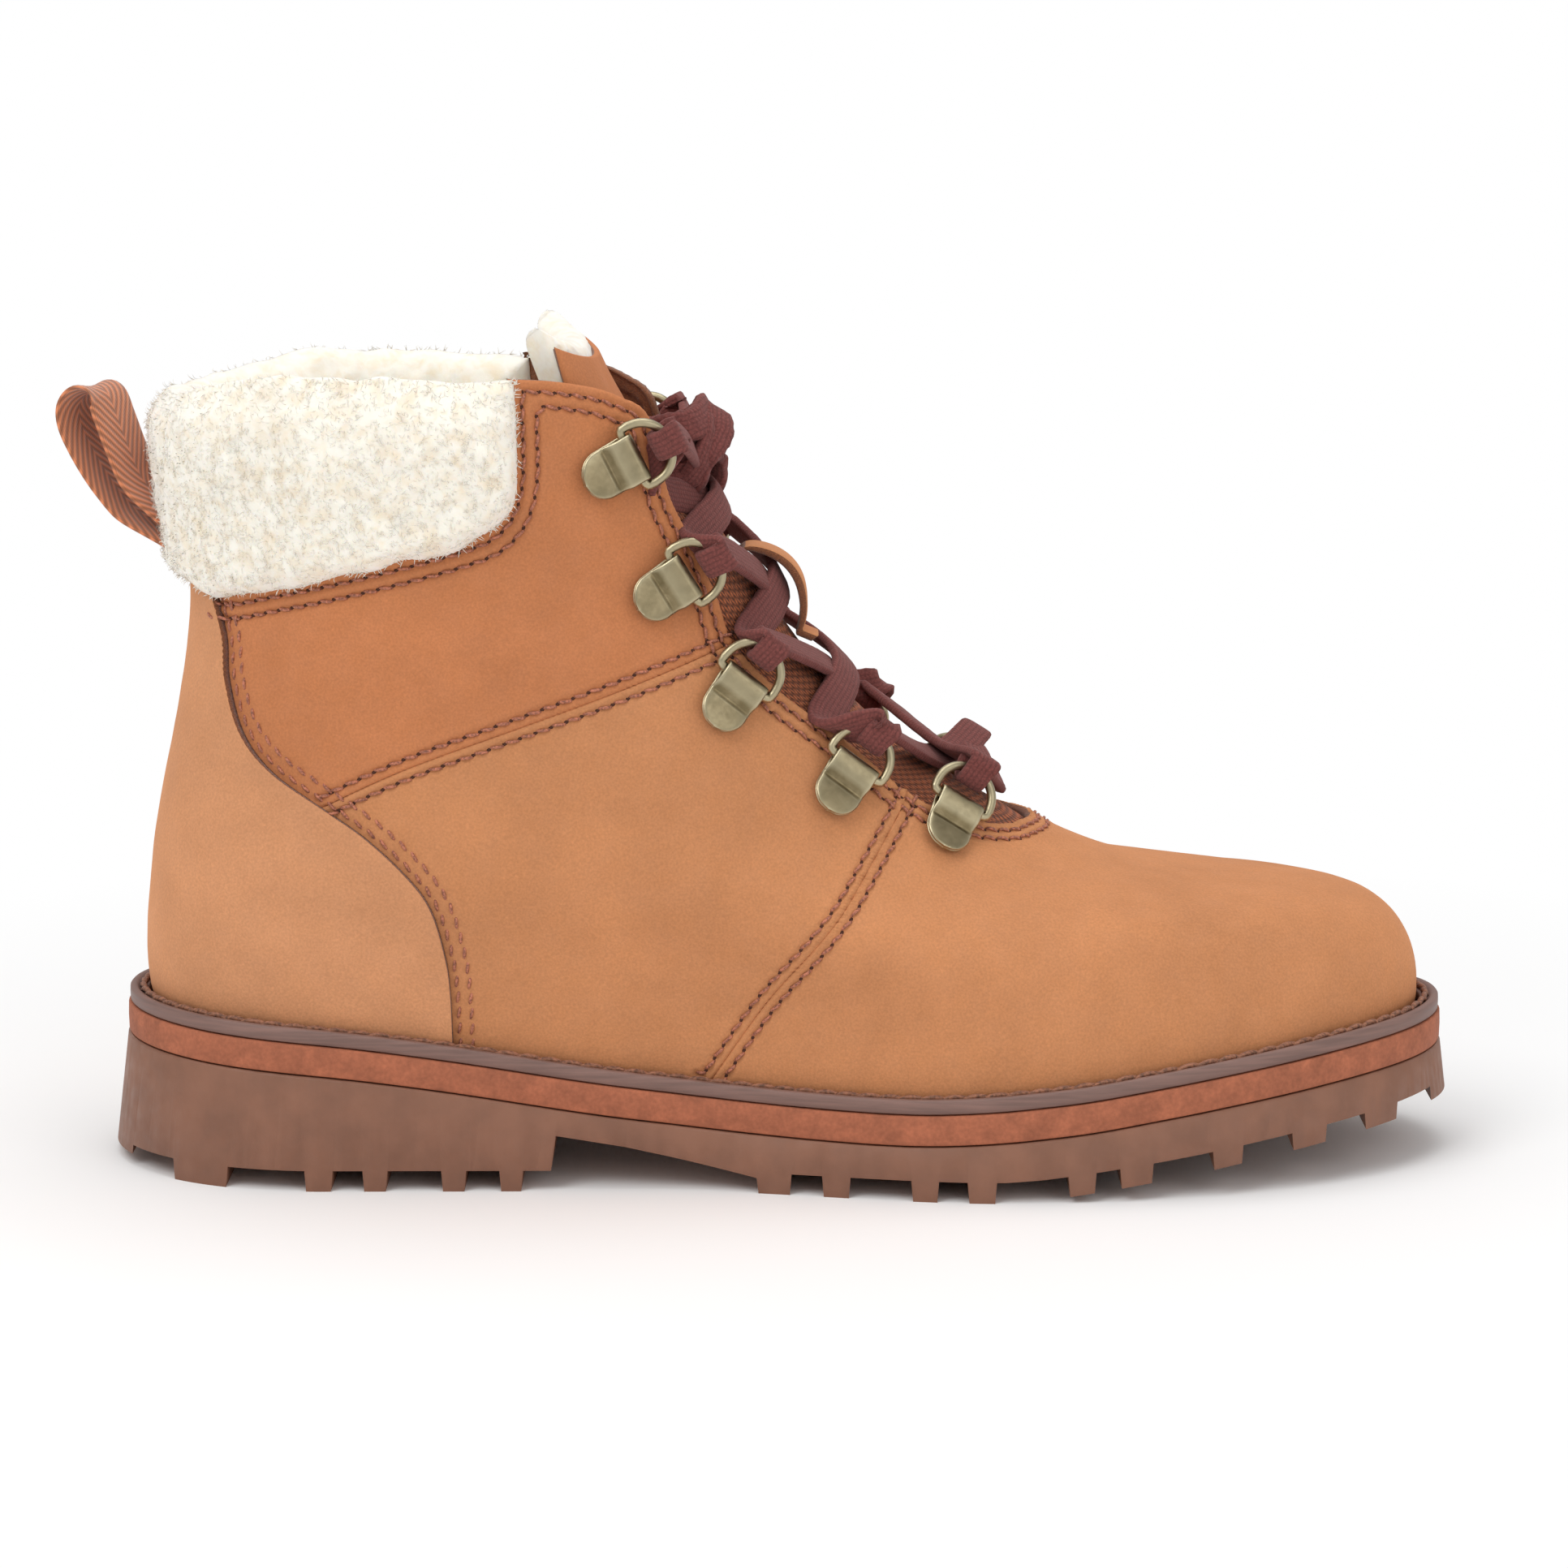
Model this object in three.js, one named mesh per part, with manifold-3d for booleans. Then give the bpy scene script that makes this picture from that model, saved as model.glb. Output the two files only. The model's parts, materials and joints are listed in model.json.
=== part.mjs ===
// An insulated winter boot, right foot, in millimetres: a stitched leather upper with a fleece collar and
// lining, a lugged rubber sole with a midsole and a welt, a tongue, a flat lace, and five hinged D-rings on
// each side.
// +X points to the toe, +Z up, -Y to the outer side of the foot. The origin is on the ground under the heel.
import * as THREE from "three";
import { mergeVertices } from "three/addons/utils/BufferGeometryUtils.js";
import Module from "manifold-3d";

// ---- Driving dimensions ----

// Upper surface, one row a level: level, back x, back z, front x, front z.
// Level 0 is the bottom edge. The front point climbs the toe and the instep while the back point climbs
// the heel.
const PROFILE = [
  [0, -35.5, 33, 232.5, 30.5],
  [0.04, -36.2, 38.5, 232.3, 38.5],
  [0.07, -36.4, 42.6, 230.6, 44.8],
  [0.1, -36.3, 46.8, 226.8, 50.6],
  [0.13, -36.1, 50.9, 220.6, 54.9],
  [0.17, -35.6, 56.3, 211.4, 57.2],
  [0.2, -35.2, 60, 203.5, 57.9],
  [0.26, -34.3, 67.5, 189.4, 59.2],
  [0.34, -32.4, 78, 172.3, 61.5],
  [0.42, -30.3, 88, 156.5, 67.3],
  [0.48, -28.8, 95.5, 145.5, 74.6],
  [0.58, -26.7, 108, 125, 90],
  [0.7, -25.8, 121, 105.5, 110.3],
  [0.84, -27, 140, 92.5, 134],
  [1, -29, 160, 82, 158],
  [1.06, -29.5, 168, 79, 168],
  [1.2, -30.5, 187, 74, 190],
];
// Half widths: level, heel, outer waist, inner waist, outer ball, inner ball, heel rounding, toe rounding.
const WIDTHS = [
  [0, 33, 33.5, 29, 47, 43, 39, 80],
  [0.12, 34.5, 35, 32, 46, 42.5, 40, 100],
  [0.26, 34, 36.5, 35, 41, 38.5, 42, 104],
  [0.45, 32, 35, 34.5, 36, 35.5, 46, 90],
  [0.7, 31.5, 34.5, 34.5, 34, 34, 46, 66],
  [1.06, 35, 37.5, 37.5, 36, 36, 46, 54],
  [1.2, 36, 38.5, 38.5, 36, 36, 46, 52],
];
// Height of the top of the sole, and of the ground side of the lugs, along x.
const SOLE_TOP = [
  [-44, 36.2], [-20, 34.6], [2, 33], [27, 30], [63, 24.6], [87, 22], [110, 20.8],
  [130, 20.8], [156, 23], [175, 25.8], [195, 28.6], [217, 31.2], [242, 33],
];
const GROUND = [
  [-44, 3.6], [-37, 0.4], [-33, 0], [140, 0], [150, 0.6], [175, 4.2], [195, 7.4], [217, 10.5], [242, 13.2],
];
const TOE_SHIFT = 6; // the toe's centre line leans this far to the inner side
const TOE_SHIFT_START = 60;
const UPPER_INSERT = 2.6; // the upper's edge stands this far below the top of the welt

const GAP = 0.3; // between pieces that touch
const FINEST = 0.01; // details smaller than this are cleaned away
const WELD = 1e-4; // points closer than this are one point
const PROBE = 2.5; // radius of the small ball that picks a piece out of a cut-up solid
const SMALLEST_PANEL = 200; // volume of the smallest leather panel kept
const LEATHER = 1.9;
const STIFFENER = [2.6, 3.1]; // depth of each layer under the leather's face
const FOAM = [3.8, 4.7];
const LINING = [5.4, 8];
const GUSSET = [2.35, 3.25];
const TONGUE = [0, 1.8]; // depths under the tongue's own face
const TONGUE_LINING = [2.2, 4.7];
const TONGUE_EDGE = 3.1; // depth of the tongue's edges under the leather's face
// Depth of the collar's roll under the leather's face, one row a level. It stands out where this is negative.
const COLLAR_BULGE = [
  [0.6, -1], [0.68, -3.6], [0.76, -5], [0.84, -5.5], [0.92, -5.5], [0.98, -4.6], [1.02, -2.4], [1.04, 1],
];
const COLLAR_INNER = 8;
const COLLAR_FRONT = 42.7; // the roll ends here, just behind the front of its seam

const WELT = { thickness: 3, out: 4.6, inner: 0.7 };
const MIDSOLE = { thickness: 6.2, out: 5 };
const OUTSOLE = { out: 5.2, flare: 0.12 };
const LUG_DEPTH = 4.2;

// Seams of the upper, seen from the side, as x, z.
const COLLAR_SEAM = [
  [-60, 126], [-25.7, 123.2], [-17.5, 120.4], [-6, 123], [11.9, 127.5], [31.6, 132.8],
  [39.8, 136.6], [43.2, 144], [43.4, 157], [43, 180],
];
const COUNTER_EDGE = [
  [-19.5, 122], [-16.7, 112], [-16.2, 103], [-13.1, 92.5], [-6.7, 84.9], [4.8, 77.6],
  [12.9, 72.1], [21, 64.6], [25.9, 57.8], [28.8, 47.7], [29.8, 39.2], [30.1, 10],
];
const QUARTER_SEAM = [[3.5, 78.2], [21.2, 86.4], [44.2, 94.9], [67.2, 103.2], [92, 112.6]];
const VAMP_SEAM = [
  [125, 86], [122.2, 79.5], [117.1, 68.3], [110.4, 58.2], [103.7, 49.8], [93.7, 37.7], [80, 17],
];
const THROAT = [
  [42, 166], [51.7, 165], [60.1, 163.4], [65.3, 161.3], [69.5, 158.8], [71.9, 154], [74.6, 142],
  [78.4, 133.5], [84.3, 120.7], [87.9, 111], [96.8, 101.2], [110, 90.9], [122.6, 80.2], [131, 75.2],
  [140.3, 72], [147, 70.8], [152, 78],
];
const LINING_SETBACK = 16; // the lining and foam stop this far behind the throat edge
const COLLAR_SETBACK = 6; // and this far below the collar's seam
// Side-view outlines that the two stiffeners are cut to.
const HEEL_STIFFENER = [[-60, 20], [26, 20], [22, 50], [-4, 74], [-60, 80]];
const TOE_STIFFENER = [[182, 20], [250, 20], [250, 90], [172, 90]];

// Lace hardware: where each hinge sits on the side of the boot, x, z, and the angle its ring pulls at.
const RING_PLACES = [
  [66.1, 148.8, 29], [76.2, 124.3, 34], [88.7, 102.7, 55], [111.3, 84.3, 55], [132.8, 75, 66],
];
const CLIP = {
  width: 10, length: 11.5, plate: 1.2, barrel: 1.95, bore: 1.3, stud: 1.6, studPlay: 0.5, lift: 0.95,
};
const RING = { wire: 0.95, halfWidth: 6.4, reach: 8.2, tilt: 20 };
const LACE = { width: 6.6, thickness: 1.4, bend: 2.9, stack: 1.8, lift: 1, slack: 0.4 };
const CROSSINGS = [0.875, 0.765, 0.66, 0.545]; // levels where the lace's halves cross, from the top
const LACE_BAR = { level: 0.5, height: 2.6 }; // the straight run between the two lowest rings
const KNOT = { x: 78, z: 148.5 };
// Lumps of the knot: half sizes, then the offset from the knot's middle, then how far it leans.
const KNOT_LUMPS = [
  [5, 8, 8, 0, 0.5, 0, -0.4], [3.6, 6, 6, -1, -8, 3, -0.5], [3.6, 6, 6, -1, 8, 3, -0.5],
  [3.6, 5, 6, 3.6, 0, -6, -0.5],
];
// Levels of the tongue. At the last its textile ends and its leather patch begins.
const TONGUE_LEVELS = [0.43, 0.47, 0.52, 0.58, 0.66, 0.74, 0.82, 0.92, 1.02];
const PATCH_LEVELS = [1.029, 1.045, 1.065, 1.082];
const FLEECE_TOP_LEVELS = [1.042, 1.06, 1.08, 1.1];
const TONGUE_ACROSS = 10;
const TONGUE_SHARE = 0.94; // share of the tongue's half width that each layer covers
const TONGUE_LINING_SHARE = 0.78;
const PATCH_SHARE = 0.9;
const GUSSET_LEVELS = [0.56, 0.68, 0.8];
const GUSSET_TURNS = [1.06, 1.12, 1.26, 1.34];
const KEEPER = { levels: [0.712, 0.815], half: 5, rise: 6.5, thickness: 1.6 };
const PULL_LOOP = {
  path: [
    [-35.9, 134.6], [-39.4, 137.6], [-44.2, 144.6], [-48, 152.4], [-48.6, 157.4], [-46.2, 160.6],
    [-42.8, 159.8], [-40.9, 155], [-39, 148.4], [-36.9, 140],
  ],
  width: 15,
  thickness: 1.3,
  turn: 0.45,
};
const SHANK = { length: 92, width: 14, thickness: 1.2, x: 62, cover: 0.2 };

// Lugs along the edges, from and to along x. The wide lug at the waist ends the arch.
const EDGE_LUGS = [
  [-50, -37], [-29, -15.5], [-0.9, 6.4], [11, 17.6], [27.1, 33.7], [39, 45.3], [84, 100.3], [105, 112.3],
  [123.1, 130.2], [134.5, 141.9], [154.9, 162.1], [165.4, 173.8], [184.5, 192.5], [201.2, 210.4],
  [217.1, 226.4], [232.8, 250],
];
// Lugs down the middle: x, y, length, width.
const MIDDLE_LUGS = [
  [-19, 0, 15, 26], [0, 0, 16, 26], [19, 0, 16, 26], [38, 0, 14, 26], [101, 0, 15, 30],
  [119, -12, 17, 20], [119, 14, 17, 20], [138, 2, 17, 26], [157, -11, 17, 20], [157, 16, 17, 20],
  [176, 4, 17, 26], [195, -8, 16, 18], [195, 17, 16, 16], [213, 6, 14, 24],
];
const LUG_EDGE = 12; // how far the edge lugs reach in from the outline
const LUG_GAP = 3; // between the edge lugs and the ones down the middle
const FOOTBED_INSET = 10.5;
// Height over the top of the sole of each flat layer's bottom and top.
const INSOLE_BOARD = [-2.9, -1.1];
const FOOTBED = [-0.8, 3];
const FOOTBED_FLEECE = [3.3, 5.4];
const INSOLE_BOARD_INSET = 3;
const ARCH = [[50.2, -5], [50.2, 3.4], [51.3, 11.3], [65.5, 9], [92.4, 3.1], [93.4, -5]];

const COLOURS = {
  nubuck: [0xc98a55, 0.85, 0], nubuckDark: [0xbd7846, 0.85, 0], fleece: [0xf0e9da, 0.95, 0],
  rubber: [0x7d5a49, 0.7, 0], midsole: [0xb0633f, 0.75, 0], welt: [0x77605a, 0.6, 0],
  textile: [0x9a4f28, 0.9, 0], webbing: [0xb5683f, 0.9, 0], lace: [0x5e3a3f, 0.9, 0],
  brass: [0x8f8560, 0.35, 1], foam: [0xd8d3c4, 0.95, 0], board: [0xb7a78a, 0.9, 0], steel: [0x9a9da0, 0.4, 1],
};

// ---- Curves and the upper's surface ----

const clamp = (v, lo, hi) => Math.min(hi, Math.max(lo, v));
const mix = (a, b, k) => a + (b - a) * k;
const smooth = (v) => {
  const k = clamp(v, 0, 1);
  return k * k * (3 - 2 * k);
};

// A smooth curve through the rows of a table: column 0 is the place, the other columns are its values there.
function through(rows) {
  const slope = rows.map((row, i) => {
    const a = rows[Math.max(i - 1, 0)];
    const b = rows[Math.min(i + 1, rows.length - 1)];
    return row.map((_, c) => (b[c] - a[c]) / (b[0] - a[0]));
  });
  return (at) => {
    const x = clamp(at, rows[0][0], rows.at(-1)[0]);
    let i = 0;
    while (i < rows.length - 2 && x > rows[i + 1][0]) i++;
    const [a, b] = [rows[i], rows[i + 1]];
    const h = b[0] - a[0];
    const k = (x - a[0]) / h;
    const [k2, k3] = [k * k, k * k * k];
    return a.map((v, c) => (2 * k3 - 3 * k2 + 1) * v + (k3 - 2 * k2 + k) * h * slope[i][c]
      + (3 * k2 - 2 * k3) * b[c] + (k3 - k2) * h * slope[i + 1][c]).slice(1);
  };
}

const profile = through(PROFILE);
const widths = through(WIDTHS);
const soleTopCurve = through(SOLE_TOP);
const groundCurve = through(GROUND);
const soleTop = (x) => soleTopCurve(x)[0];
const ground = (x) => Math.max(0, groundCurve(x)[0]);
const toeShift = (x) => TOE_SHIFT * smooth((x - TOE_SHIFT_START) / (PROFILE[0][3] - TOE_SHIFT_START));
const rounded = (d) => Math.sqrt(clamp(d, 0, 1) * (2 - clamp(d, 0, 1)));

const [BACK_X, BACK_Z, FRONT_X, FRONT_Z] = profile(0);
// How far the bottom edge dips below the straight line from heel to toe, at a share s of the way.
const dip = (s) => mix(BACK_Z, FRONT_Z, s) - (soleTop(mix(BACK_X, FRONT_X, s)) - UPPER_INSERT);

// A point of the leather's face. turn runs from 0 at the toe and instep line, through +90 degrees on the
// outer side, to 180 at the back of the heel, and negative on the inner side.
function facePoint(turn, level) {
  const [bx, bz, fx, fz] = profile(level);
  const [heel, waistOut, waistIn, ballOut, ballIn, heelRound, toeRound] = widths(level);
  const outer = Math.sin(turn) >= 0;
  const s = (1 + Math.cos(turn)) / 2;
  const [waist, ball] = outer ? [waistOut, ballOut] : [waistIn, ballIn];
  const full = mix(mix(heel, waist, smooth((s - 0.1) / 0.3)), ball, smooth((s - 0.4) / 0.28));
  const length = fx - bx;
  const half = full * rounded((s * length) / heelRound) * rounded(((1 - s) * length) / toeRound);
  const x = mix(bx, fx, s);
  const z = mix(bz, fz, s) - dip(s) * (1 - clamp(level, 0, 1)) ** 4;
  return new THREE.Vector3(x, toeShift(x) + (outer ? -half : half), z);
}

function faceNormal(turn, level) {
  const d = 1e-3;
  const along = facePoint(turn + d, level).sub(facePoint(turn - d, level));
  const up = facePoint(turn, level + d).sub(facePoint(turn, level - d));
  return up.cross(along).normalize();
}

// A point at a depth under the leather's face. A negative depth is outside it.
function layerPoint(turn, level, depth) {
  return facePoint(turn, level).addScaledVector(faceNormal(turn, level), -depth);
}

// The turn and level where the face shows the side-view point x, z.
function faceAt(x, z, side) {
  let [lo, hi] = [0, 1.2];
  let turn = 0;
  for (let i = 0; i < 40; i++) {
    const level = (lo + hi) / 2;
    const [bx, , fx] = profile(level);
    turn = side * Math.acos(clamp((2 * (x - bx)) / (fx - bx) - 1, -1, 1));
    if (x > fx || facePoint(turn, level).z > z) hi = level;
    else lo = level;
  }
  return [turn, (lo + hi) / 2];
}

// ---- Solids ----

const wasm = await Module();
wasm.setup();

function solid(geometry) {
  const bare = geometry.index ? geometry.toNonIndexed() : geometry.clone();
  for (const name of Object.keys(bare.attributes)) if (name !== "position") bare.deleteAttribute(name);
  const merged = mergeVertices(bare, WELD);
  const index = merged.index.array;
  const kept = [];
  for (let i = 0; i < index.length; i += 3) {
    const [a, b, c] = [index[i], index[i + 1], index[i + 2]];
    if (a !== b && b !== c && a !== c) kept.push(a, b, c);
  }
  const vertProperties = merged.attributes.position.array;
  const mesh = new wasm.Mesh({ numProp: 3, vertProperties, triVerts: new Uint32Array(kept) });
  mesh.merge();
  return new wasm.Manifold(mesh);
}

// Slivers left by the cuts, finer than FINEST, are cleaned away.
function geometryOf(manifold) {
  const mesh = manifold.simplify(FINEST).getMesh();
  const geometry = new THREE.BufferGeometry();
  geometry.setAttribute("position", new THREE.BufferAttribute(new Float32Array(mesh.vertProperties), 3));
  geometry.setIndex(new THREE.BufferAttribute(new Uint32Array(mesh.triVerts), 1));
  geometry.computeVertexNormals();
  return geometry;
}

const biggest = (made) => made.decompose().reduce((a, b) => (a.volume() > b.volume() ? a : b));

// Joins rings of points into one solid. Each ring's second half runs back beside its first, so its ends
// close as strips.
function loft(rings, closed) {
  const n = rings[0].length;
  const points = rings.flat();
  const faces = [];
  const quad = (a, b, c, d) => faces.push(a, b, c, a, c, d);
  for (let r = 0; r < rings.length - (closed ? 0 : 1); r++) {
    const [p, q] = [r * n, ((r + 1) % rings.length) * n];
    for (let i = 0; i < n; i++) {
      const j = (i + 1) % n;
      if (i < n / 2) quad(p + i, p + j, q + j, q + i);
      else quad(p + j, q + j, q + i, p + i);
    }
  }
  if (!closed) {
    const last = (rings.length - 1) * n;
    for (let i = 0; i < n / 2 - 1; i++) {
      quad(n - 1 - i, n - 2 - i, i + 1, i);
      quad(last + i, last + i + 1, last + n - 2 - i, last + n - 1 - i);
    }
  }
  const geometry = new THREE.BufferGeometry();
  geometry.setAttribute("position", new THREE.Float32BufferAttribute(points.flatMap((p) => p.toArray()), 3));
  geometry.setIndex(faces);
  const made = solid(geometry);
  if (made.volume() > 0) return made;
  for (let i = 0; i < faces.length; i += 3) [faces[i + 1], faces[i + 2]] = [faces[i + 2], faces[i + 1]];
  geometry.setIndex(faces);
  return solid(geometry);
}

const steps = (from, to, count) => Array.from({ length: count + 1 }, (_, i) => mix(from, to, i / count));
const box = (x, y, z, cx, cy, cz) => solid(new THREE.BoxGeometry(x, y, z).translate(cx, cy, cz));

const ABOVE = 200; // a height clear above the boot
const BESIDE = 90; // a distance clear of its side

// Every layer of the upper is cut at the same turns and levels, so their facets lie parallel.
const AROUND = 34;
const LEVELS = [0, 0.04, 0.09, 0.14, 0.21, 0.32, 0.44, 0.56, 0.7, 0.86, 1.06];
const TURNS = steps(0, 2 * Math.PI, AROUND).slice(0, -1);

// A wall right round the boot between two depths, from one of the levels to another.
function wall([outside, inside], from = 0, to = LEVELS.length - 1) {
  const levels = LEVELS.slice(from, to + 1);
  const rings = TURNS.map((turn) => [
    ...levels.map((level) => layerPoint(turn, level, outside)),
    ...levels.toReversed().map((level) => layerPoint(turn, level, inside)),
  ]);
  return loft(rings, true);
}

// A side-view outline pushed right through the boot.
function prism(points) {
  const shape = new THREE.Shape(points.map(([x, z]) => new THREE.Vector2(x, z)));
  const geometry = new THREE.ExtrudeGeometry(shape, { depth: 2 * BESIDE, bevelEnabled: false });
  return solid(geometry.rotateX(Math.PI / 2).translate(0, BESIDE, 0));
}

const spline = (points, count) => new THREE.SplineCurve(points.map(([x, z]) => new THREE.Vector2(x, z)))
  .getSpacedPoints(count).map((p) => [p.x, p.y]);

// The curve moved sideways by a distance, to its left.
function shifted(points, distance) {
  return points.map((p, i) => {
    const a = points[Math.max(i - 1, 0)];
    const b = points[Math.min(i + 1, points.length - 1)];
    const length = Math.hypot(b[0] - a[0], b[1] - a[1]);
    return [p[0] - ((b[1] - a[1]) / length) * distance, p[1] + ((b[0] - a[0]) / length) * distance];
  });
}

// The slot a knife would leave along a seam.
const kerf = (points) => prism([...shifted(points, GAP / 2), ...shifted(points, -GAP / 2).toReversed()]);

const collarSeam = spline(COLLAR_SEAM, 16);
const counterEdge = spline(COUNTER_EDGE, 14);
const quarterSeam = spline(QUARTER_SEAM, 6);
const vampSeam = spline(VAMP_SEAM, 8);
const throat = spline(THROAT, 22);
const above = ([x]) => [x, ABOVE];
// Everything above a seam, with the seam moved to its left by a shift.
const zoneAbove = (line, ends, shift) => prism([...shifted(line, shift), above(ends.at(-1)), above(ends[0])]);
const collarZone = (shift) => zoneAbove(collarSeam, COLLAR_SEAM, shift);
const throatZone = (shift) => zoneAbove(throat, THROAT, shift);

// ---- Parts ----

const group = new THREE.Group();

function add(name, made, colour, parent = group) {
  const [color, roughness, metalness] = COLOURS[colour];
  const material = new THREE.MeshStandardMaterial({ color, roughness, metalness });
  const mesh = new THREE.Mesh(geometryOf(made), material);
  mesh.name = name;
  parent.add(mesh);
  return mesh;
}

// The piece of a cut-up solid that holds the most of a small ball at a point.
function pieceAt(pieces, point) {
  const probe = solid(new THREE.IcosahedronGeometry(PROBE, 1).translate(point.x, point.y, point.z));
  const shares = pieces.map((piece) => piece.intersect(probe).volume());
  return pieces[shares.indexOf(Math.max(...shares))];
}

// Places of the hinges: origin on the ring's bar, x the pull, y along the bar, z out of the leather.
function hingeFrames() {
  return [1, -1].flatMap((side) => RING_PLACES.map(([x, z, angle], i) => {
    const [turn, level] = faceAt(x, z, side);
    const out = faceNormal(turn, level);
    const a = THREE.MathUtils.degToRad(angle);
    const pull = new THREE.Vector3(Math.cos(a), 0, Math.sin(a));
    pull.y = -(pull.x * out.x + pull.z * out.z) / out.y;
    pull.normalize();
    const bar = new THREE.Vector3().crossVectors(out, pull);
    const origin = facePoint(turn, level).addScaledVector(out, CLIP.lift + CLIP.barrel);
    const name = `${side > 0 ? "outer" : "inner"}_${i + 1}`;
    return { name, side, index: i, pull, bar, out, origin };
  }));
}

const frames = hingeFrames();

function placed(mesh, { pull, bar, out, origin }) {
  mesh.quaternion.setFromRotationMatrix(new THREE.Matrix4().makeBasis(pull, bar, out));
  mesh.position.copy(origin);
}

const cylinder = (radius, height, sides = 16) => new THREE.CylinderGeometry(radius, radius, height, sides);

// A folded plate with a barrel for the ring's bar and a stud that goes through the leather.
function clipSolid() {
  const { width, length, plate, barrel, bore, stud, lift } = CLIP;
  const round = width / 2;
  const shape = new THREE.Shape();
  shape.moveTo(0, barrel);
  shape.absarc(0, 0, barrel, Math.PI / 2, -Math.PI / 2, true);
  shape.lineTo(-length, -barrel);
  shape.lineTo(-length, plate - barrel);
  shape.lineTo(-barrel - 0.6, plate - barrel);
  shape.lineTo(-barrel + 0.4, barrel - 0.6);
  shape.closePath();
  shape.holes.push(new THREE.Path().absarc(0, 0, bore, 0, 2 * Math.PI, false));
  const section = new THREE.ExtrudeGeometry(shape, { depth: width, bevelEnabled: false, curveSegments: 4 });
  const folded = solid(section.translate(0, 0, -round).rotateX(Math.PI / 2));
  const plan = new THREE.Shape();
  plan.moveTo(4, -round - 1);
  plan.lineTo(4, round + 1);
  plan.lineTo(round - length, round + 1);
  plan.lineTo(round - length, round);
  plan.absarc(round - length, 0, round, Math.PI / 2, (3 * Math.PI) / 2, false);
  plan.lineTo(round - length, -round - 1);
  const outline = solid(new THREE.ExtrudeGeometry(plan, { depth: 10, bevelEnabled: false, curveSegments: 5 })
    .translate(0, 0, -5));
  const pinBottom = -(barrel + lift + LEATHER + 0.1);
  const pinTop = plate / 2 - barrel;
  const made = cylinder(stud, pinTop - pinBottom, 8).rotateX(Math.PI / 2)
    .translate(round - length, 0, (pinTop + pinBottom) / 2);
  return folded.intersect(outline).add(solid(made));
}

// The round wire of a D-ring: a straight bar on the hinge line, and a bow that reaches along the pull.
function ringSolid() {
  const { wire, halfWidth, reach, tilt } = RING;
  const bow = steps(0, Math.PI, 8).map((a) => new THREE.Vector3(
    1.4 + (reach - 1.4) * Math.sin(a) ** 0.85, halfWidth * Math.cos(a), 0));
  const corner = new THREE.Vector3(0, halfWidth - 1.3, 0);
  const line = [corner, ...bow, new THREE.Vector3(0, 1.3 - halfWidth, 0)];
  const lift = new THREE.Matrix4().makeRotationY(-THREE.MathUtils.degToRad(tilt));
  line.forEach((p) => p.applyMatrix4(lift));
  const planeNormal = new THREE.Vector3(0, 0, 1).applyMatrix4(lift);
  const rings = line.map((p, i) => {
    const before = line[(i + line.length - 1) % line.length];
    const after = line[(i + 1) % line.length];
    const ahead = after.clone().sub(p).normalize();
    const behind = p.clone().sub(before).normalize();
    const along = ahead.clone().add(behind).normalize();
    const across = along.clone().cross(planeNormal).normalize();
    const spread = 1 / Math.max(0.6, along.dot(ahead));
    return steps(0, 2 * Math.PI, 6).slice(0, -1).map((a) => p.clone()
      .addScaledVector(across, wire * Math.cos(a) * spread)
      .addScaledVector(planeNormal, wire * Math.sin(a)));
  });
  return loft(rings, true);
}

function addHardware() {
  const clip = clipSolid();
  const ring = ringSolid();
  for (const frame of frames) {
    placed(add(`clip_${frame.name}`, clip, "brass"), frame);
    placed(add(`ring_${frame.name}`, ring, "brass"), frame);
  }
}

function addUpper() {
  const holes = frames.map(({ origin, pull, bar, out }) => {
    const hole = cylinder(CLIP.stud + CLIP.studPlay, 14, 8).rotateX(Math.PI / 2);
    hole.translate(CLIP.width / 2 - CLIP.length, 0, 0);
    hole.applyMatrix4(new THREE.Matrix4().makeBasis(pull, bar, out).setPosition(origin));
    return solid(hole);
  });
  const seams = [counterEdge, vampSeam, quarterSeam].map(kerf);
  const leather = wall([0, LEATHER])
    .subtract(wasm.Manifold.union([collarZone(0), throatZone(0), ...seams, ...holes]));
  const pieces = leather.decompose().filter((piece) => piece.volume() > SMALLEST_PANEL);
  const middle = LEATHER / 2;
  const within = (x, z, side) => layerPoint(...faceAt(x, z, side), middle);
  add("heel_counter", pieceAt(pieces, layerPoint(Math.PI, 0.3, middle)), "nubuck");
  add("vamp", pieceAt(pieces, within(190, 45, 1)), "nubuck");
  for (const [side, word] of [[1, "outer"], [-1, "inner"]]) {
    add(`quarter_${word}`, pieceAt(pieces, within(70, 60, side)), "nubuck");
    add(`ankle_${word}`, pieceAt(pieces, within(20, 110, side)), "nubuckDark");
  }
}

function addStiffeners() {
  const made = wall(STIFFENER, 1, 5);
  add("heel_stiffener", made.intersect(prism(HEEL_STIFFENER)), "board");
  add("toe_stiffener", made.intersect(prism(TOE_STIFFENER)), "board");
}

function addLining() {
  const behindTongue = tongueSheet([-1.5, TONGUE_LINING[1] + 4], [...TONGUE_LEVELS, 1.06], 1.04);
  const open = wasm.Manifold.union([collarZone(-COLLAR_SETBACK), throatZone(-LINING_SETBACK), behindTongue]);
  for (const [name, depths, colour] of [["foam_layer", FOAM, "foam"], ["fleece_lining", LINING, "fleece"]]) {
    add(name, biggest(wall(depths, 1).subtract(open)), colour);
  }
}

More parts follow.
